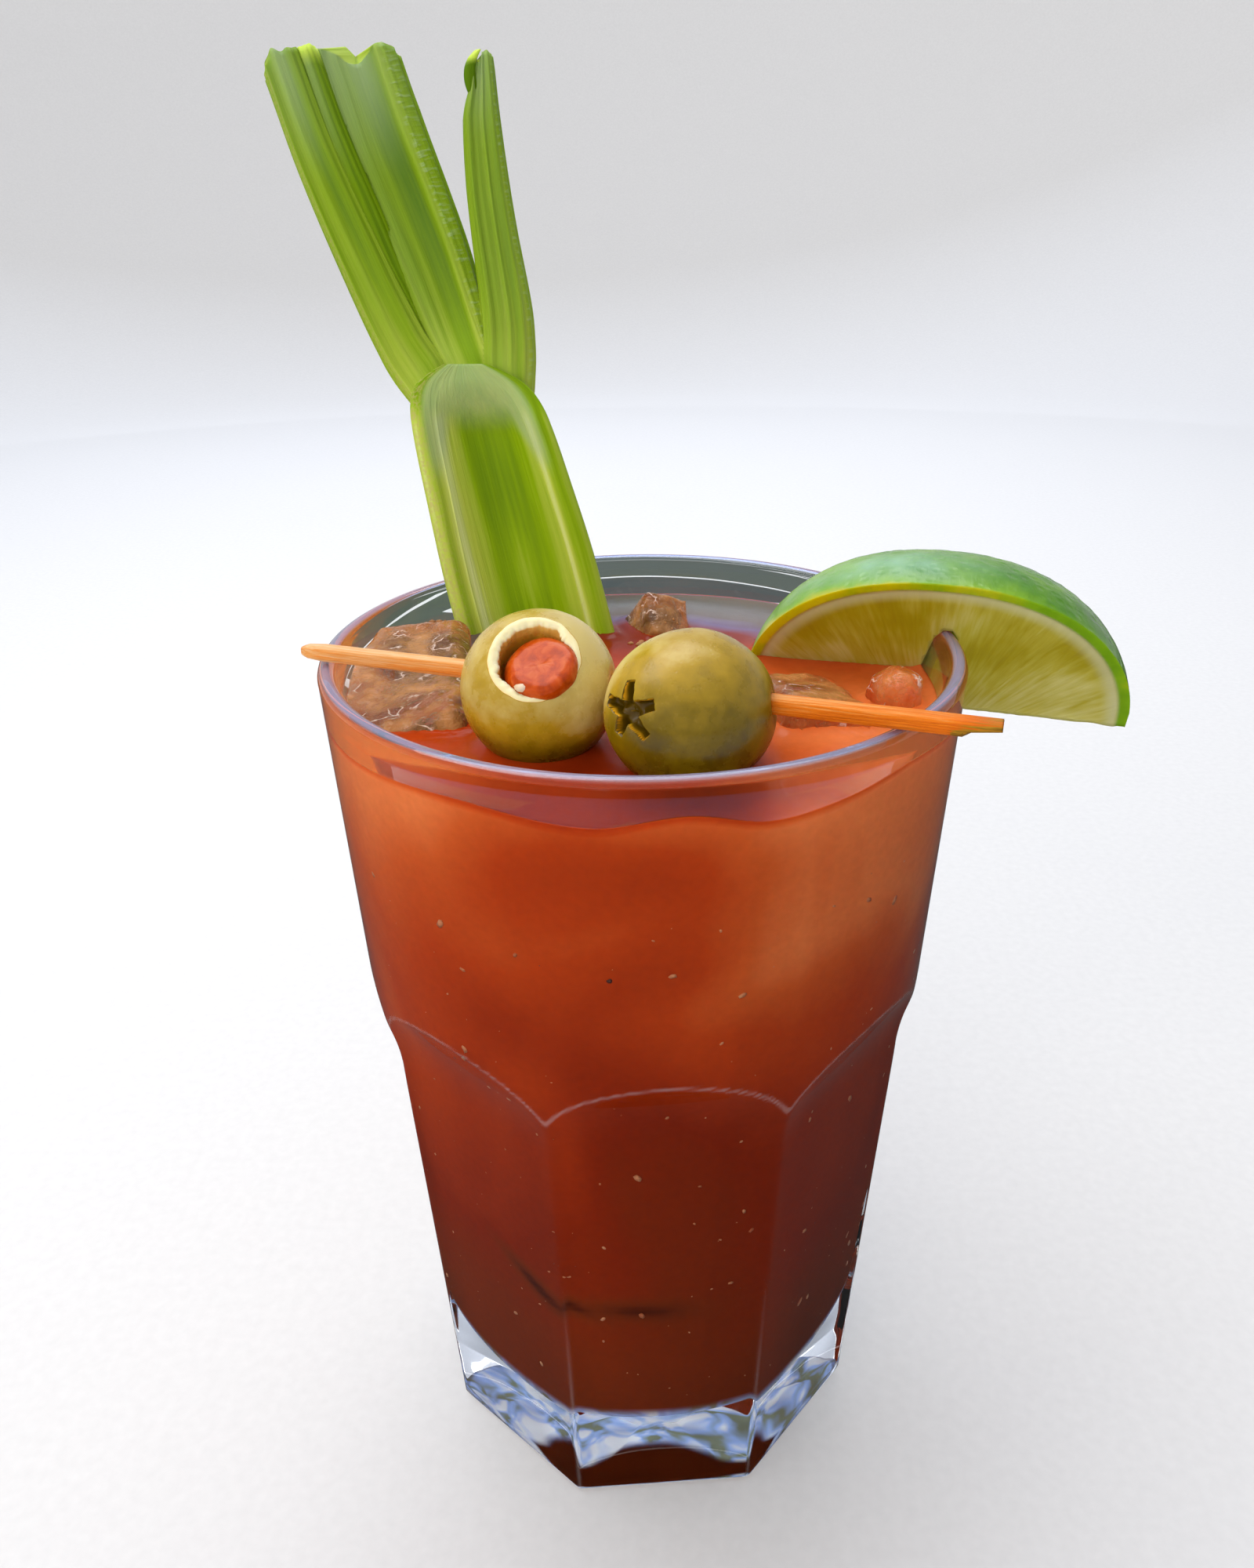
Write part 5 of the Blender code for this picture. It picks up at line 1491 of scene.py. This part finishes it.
def scatter_tree(name, material):
    """Geometry Nodes: strews small uneven bits over a surface."""
    tree, given = new_group(name, {"Surface": "Geometry", "Bit": "Object", "Density": "Float",
                                   "Smallest": "Float", "Largest": "Float", "Seed": "Int"},
                            "Bits")
    spots = add(tree, "GeometryNodeDistributePointsOnFaces", {
        "Mesh": given["Surface"], "Density": given["Density"], "Seed": given["Seed"]})
    share = add(tree, "FunctionNodeRandomValue", {"Seed": given["Seed"]}, data_type="FLOAT")
    share = add(tree, "ShaderNodeMath", {0: share.outputs[1], 1: 4.0}, operation="POWER")
    size = add(tree, "ShaderNodeMapRange", {
        "Value": share, "To Min": given["Smallest"], "To Max": given["Largest"]})
    spin = add(tree, "FunctionNodeRandomValue", {
        "Max": (0.0, 0.0, math.tau), "Seed": given["Seed"]}, data_type="FLOAT_VECTOR")
    facing = add(tree, "FunctionNodeRotateRotation", {
        0: spots.outputs["Rotation"], 1: spin}, rotation_space="LOCAL")
    bit = add(tree, "GeometryNodeObjectInfo", {"Object": given["Bit"]})
    bits = add(tree, "GeometryNodeInstanceOnPoints", {
        "Points": spots.outputs["Points"], "Instance": bit.outputs["Geometry"], "Rotation": facing,
        "Scale": size})
    return finish_group(tree, bits, material)


def make_bit(name, shape, seed):
    """A small uneven lump a millimetre across, squeezed to a shape."""
    rng = random.Random(seed)
    bm = bmesh.new()
    bmesh.ops.create_icosphere(bm, subdivisions=1, radius=0.5 * MM)
    for vert in bm.verts:
        vert.co = Vector([c * s * rng.uniform(0.7, 1.25) for c, s in zip(vert.co, shape)])
    mesh = mesh_from(name, bm)
    mesh.shade_smooth()
    return new_object(name, mesh)


def strew(name, points, faces, bit, material, values):
    """Bits strewn by Geometry Nodes over a surface that itself isn't kept."""
    bits = add_piece(name, points, faces, [material])
    run_tree(bits, scatter_tree(name + "_scatter", material), {"Bit": bit, **values})
    bits.data.shade_smooth()
    return bits


FLECKS_FROM = 16.0           # the heights between which flecks show in the wall
FLECKS_TO = 108.0


def wall_patch():
    """The part of the drink's wall that carries flecks, as a band of faces."""
    steps = 96
    rows = np.linspace(FLECKS_FROM, FLECKS_TO, 24)
    points = []
    for z in rows:
        for i in range(steps):
            a = math.tau * i / steps
            r = hollow_radius(z) + INTO_WALL
            points.append((r * math.cos(a), r * math.sin(a), z))
    return points, tube_faces(len(rows), steps)


# Where ground spice has gathered: middle, half length, half width, turn
CRUMBS = [((1.0, 16.6), 2.6, 1.5, 10.0), ((-29.6, 14.4), 4.2, 1.0, -8.0),
          ((4.6, 21.5), 1.6, 0.7, 60.0)]


def draped_patches(places, pieces):
    """Small patches laid from above over whatever lies highest at each place."""
    trees = [surface_tree(piece) for piece in pieces]
    points, faces = [], []
    for middle, half_length, half_width, turn in places:
        first = len(points)
        c, s = math.cos(math.radians(turn)), math.sin(math.radians(turn))
        for row in range(5):
            for column in range(9):
                u, v = half_length * (column / 4 - 1), half_width * (row / 2 - 1)
                spot = Vector((middle[0] + u * c - v * s, middle[1] + u * s + v * c, 140.0))
                hits = [tree.ray_cast(spot, Vector((0, 0, -1)))[0] for tree in trees]
                points.append((spot.x, spot.y, max(hit.z for hit in hits if hit)))
        for row in range(4):
            for column in range(8):
                i = first + row * 9 + column
                faces.append([i, i + 1, i + 10, i + 9])
    return points, faces


def make_pip(material):
    """A pale crumb of pepper seed on the edge of the first olive's hole."""
    bm = bmesh.new()
    bmesh.ops.create_icosphere(bm, subdivisions=2, radius=1.0)
    points = np.array([v.co for v in bm.verts])
    faces = [[v.index for v in f.verts] for f in bm.faces]
    bm.free()
    points = points * (0.95 + 0.25 * rough(points, 0.8, 2))[:, None] * [0.8, 0.55, 0.5]
    return add_piece("pepper_seed", olive_to_world("olive_1", points + [-1.3, -3.6, 8.5]), faces,
                     [material])


# Stage, light and camera

FLOOR_DROP = -0.1            # the floor lies a little below the object
FLOOR_REACH = 1000.0         # where the floor starts to curve up
FLOOR_CURVE = 500.0
CARD_STEPS = 96
# Flat rings on the floor that the camera doesn't see itself. The two for gloss keep the pale
# floor from greying the drink. The others show through the clear glass alone: greys behind the
# back wall, with gaps of light between them, a blue round the foot and a brown under it.
CARDS = [
    # name, colour, inner radius, outer radius, height, spread, and whether it is for gloss
    ("dark_card", "#464644", 37.0, 950.0, 0.4, 360, True),
    ("dusk_card", "#4A2C20", 30.2, 37.0, -0.05, 360, True),
    ("blue_card", "#98AED8", 30.2, 148.0, -0.05, 360, False),
    ("grey_card_1", "#4A524C", 150.0, 258.0, 0.4, 150, False),
    ("grey_card_2", "#525850", 266.0, 345.0, 0.4, 150, False),
    ("grey_card_3", "#4C5250", 352.0, 640.0, 0.4, 150, False),
    ("brown_card", "#7A4028", 1.0, 30.0, -0.05, 360, False),
]


def make_floor():
    # Matt pale paper, curved up far behind the glass on every side
    material, tree = new_material("pale_paper")
    place = add(tree, "ShaderNodeTexCoord").outputs["Object"]
    fibre = add(tree, "ShaderNodeTexNoise", {"Vector": place, "Scale": per(2), "Detail": 2.0})
    colour = add(tree, "ShaderNodeValToRGB", {0: fibre}, stops=[
        (0.2, "#DEDCD8"), (0.8, "#E4E2DE")])
    shader = add(tree, "ShaderNodeBsdfPrincipled", {"Base Color": colour, "Roughness": 0.9})
    add(tree, "ShaderNodeOutputMaterial", {"Surface": shader})
    profile = [(s, FLOOR_DROP) for s in (20.0, 200.0, 600.0, FLOOR_REACH)]
    profile += [(FLOOR_REACH + FLOOR_CURVE * math.sin(a), FLOOR_CURVE - FLOOR_CURVE * math.cos(a))
                for a in np.linspace(0.1, math.pi / 2, 14)]
    profile += [(1500.0, 700.0)]
    steps = 96
    points, faces = [(0.0, 0.0, FLOOR_DROP)], []
    for r, z in profile:
        points += [(r * math.cos(math.tau * i / steps), r * math.sin(math.tau * i / steps), z)
                   for i in range(steps)]
    for i in range(steps):
        faces.append([0, 1 + i, 1 + (i + 1) % steps])
        for row in range(len(profile) - 1):
            low, high = 1 + row * steps, 1 + (row + 1) * steps
            j = (i + 1) % steps
            faces.append([low + i, high + i, high + j, low + j])
    mesh = bpy.data.meshes.new("pale_floor")
    mesh.from_pydata((np.array(points) * MM).tolist(), [], faces)
    mesh.materials.append(material)
    mesh.shade_smooth()
    floor = new_object("pale_floor", mesh)


def make_cards():
    for name, code, inner, outer, z, spread, for_gloss in CARDS:
        # Plain matt felt, with no gloss of its own
        material, tree = new_material(name)
        felt = add(tree, "ShaderNodeBsdfPrincipled", {
            "Base Color": paint(code), "Roughness": 1.0, "Specular IOR Level": 0.0})
        add(tree, "ShaderNodeOutputMaterial", {"Surface": felt})
        angles = np.radians(np.linspace(90 - spread / 2, 90 + spread / 2, CARD_STEPS + 1))
        points = [(r * math.cos(a), r * math.sin(a), z) for r in (inner, outer) for a in angles]
        faces = [[i, i + 1, CARD_STEPS + 2 + i, CARD_STEPS + 1 + i] for i in range(CARD_STEPS)]
        mesh = bpy.data.meshes.new(name)
        mesh.from_pydata((np.array(points) * MM).tolist(), [], faces)
        mesh.materials.append(material)
        card = new_object(name, mesh)
        card.visible_camera = card.visible_diffuse = False
        card.visible_shadow = card.visible_volume_scatter = False
        card.visible_glossy = for_gloss
        card.visible_transmission = not for_gloss


def add_lamp(name, place, aim, size, watts, code, in_gloss=True):
    lamp = bpy.data.lights.new(name, "AREA")
    lamp.shape, lamp.size, lamp.size_y = "RECTANGLE", size[0] * MM, size[1] * MM
    lamp.energy, lamp.color = watts, paint(code)[:3]
    obj = new_object(name, lamp)
    obj.location = Vector(place) * MM
    obj.rotation_euler = (Vector(aim) - Vector(place)).to_track_quat("-Z", "Y").to_euler()
    obj.visible_camera = False
    obj.visible_glossy = in_gloss


def make_light():
    bpy.context.scene.view_settings.view_transform = "Standard"
    world = bpy.data.worlds.new("studio_air")
    world.use_nodes = True
    tree = world.node_tree
    tree.nodes.clear()
    # The sky is brighter in gloss, for the cool light along the rim and on wet skin
    glossy = add(tree, "ShaderNodeLightPath").outputs["Is Glossy Ray"]
    sky = add(tree, "ShaderNodeTexCoord").outputs["Generated"]
    upward = add(tree, "ShaderNodeSeparateXYZ", {0: sky})
    zenith = add(tree, "ShaderNodeMapRange", {
        "Value": upward.outputs["Z"], "From Min": 0.68, "From Max": 0.88, "To Max": 1.1})
    boost = add(tree, "ShaderNodeMath", {0: glossy, 1: zenith}, operation="MULTIPLY")
    strength = add(tree, "ShaderNodeMath", {0: boost, 1: 0.6}, operation="ADD")
    air = add(tree, "ShaderNodeBackground", {"Color": paint("#E2E8F8"), "Strength": strength})
    add(tree, "ShaderNodeOutputWorld", {"Surface": air})
    bpy.context.scene.world = world
    add_lamp("top_softbox", (-160, 190, 760), (0, 0, 110), (1000, 460), 4.2, "#FFFFFF")
    add_lamp("back_softbox", (-150, 950, 620), (0, 0, 60), (1500, 520), 4.2, "#D6E4FF",
             in_gloss=False)
    add_lamp("front_softbox", (-430, -740, 480), (0, 0, 90), (1000, 500), 5.0, "#FFF8EE",
             in_gloss=False)
    add_lamp("backdrop_softbox", (0, 500, 1100), (0, 1500, 420), (1800, 300), 5.0, "#FFFFFF",
             in_gloss=False)


# The photograph's camera: its focal length and shift are in pixels of the picture's height
PICTURE_HEIGHT = 2000
FOCAL_LENGTH = 1562.7
SHIFT_UP = -33
SENSOR = 36.0
CAMERA_PLACE = (0.0, -0.15305, 0.18131)      # in metres
CAMERA_RIGHT = Vector((0.99987934, 0.00758262, -0.01355796))
CAMERA_UP = Vector((0.00901036, 0.42786807, 0.90379629))


def make_camera():
    lens = bpy.data.cameras.new("camera")
    lens.sensor_width = SENSOR
    lens.lens = FOCAL_LENGTH / PICTURE_HEIGHT * SENSOR
    lens.shift_y = SHIFT_UP / PICTURE_HEIGHT
    lens.clip_start, lens.clip_end = 0.01, 20.0
    camera = new_object("camera", lens)
    axes = Matrix((CAMERA_RIGHT, CAMERA_UP, CAMERA_RIGHT.cross(CAMERA_UP)))
    camera.matrix_world = Matrix.Translation(CAMERA_PLACE) @ axes.transposed().to_4x4()
    bpy.context.scene.camera = camera


def place_piece(piece, node):
    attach(piece, "root")
    if node:
        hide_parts(node)


make_camera()
make_light()
make_floor()
make_cards()

glass = make_glass(pressed_glass())
ice_material = melting_ice()
ice = {name: make_ice(name, ice_material) for name in ICE}
celery = make_celery(celery_flesh())
olive_material = olive_skin()
pitted = make_pitted_olive(olive_material)
starred = make_star_olive(olive_material)
pimento = make_pimento(pimento_flesh())
pick = make_pick(stained_wood())
lime = combine(make_lime(lime_fruit()), rim_cutter(), "DIFFERENCE")
drink = make_drink(tomato_juice("juice_behind_glass", False), tomato_juice("juice_surface", True),
                   list(ice.values()), [celery, pitted, starred, lime])

pulp_material = bit_material("tomato_pulp", "#A84E1E", "#D89C6C", 0.6)
spice_material = bit_material("ground_spice", "#2A0E06", "#5C2A12", 0.6)
pulp_bit = make_bit("pulp_bit", (1.0, 0.7, 0.35), 4)
spice_bit = make_bit("spice_bit", (1.0, 0.8, 0.5), 9)
wall_points, wall_faces = wall_patch()
pulp = strew("pulp_flecks", wall_points, wall_faces, pulp_bit, pulp_material,
             {"Density": 16000.0, "Smallest": 0.2, "Largest": 1.9, "Seed": 3})
spice = strew("spice_flecks", wall_points, wall_faces, spice_bit, spice_material,
              {"Density": 1500.0, "Smallest": 0.2, "Largest": 0.9, "Seed": 8})
crumb_material = bit_material("spice_crumbs", "#6A3410", "#C89054", 0.7)
crumb_points, crumb_faces = draped_patches(
    CRUMBS, [drink, celery, pitted, starred, *ice.values()])
crumbs = strew("spice_crumbs", crumb_points, crumb_faces, spice_bit, crumb_material,
               {"Density": 900000.0, "Smallest": 0.35, "Largest": 1.6, "Seed": 5})
pip = make_pip(bit_material("olive_pip", "#D8B890", "#F2E4D0", 0.3))
for helper in (pulp_bit, spice_bit):
    bpy.data.objects.remove(helper)

place_piece(glass, "glass")
place_piece(drink, "drink")
place_piece(celery, "celery")
place_piece(pitted, "olive_1")
place_piece(starred, "olive_2")
place_piece(pimento, "pimento")
place_piece(pick, "pick")
place_piece(lime, "lime_wedge")
for name, piece in ice.items():
    place_piece(piece, name)
place_piece(pulp, None)
place_piece(spice, None)
place_piece(crumbs, None)
place_piece(pip, None)
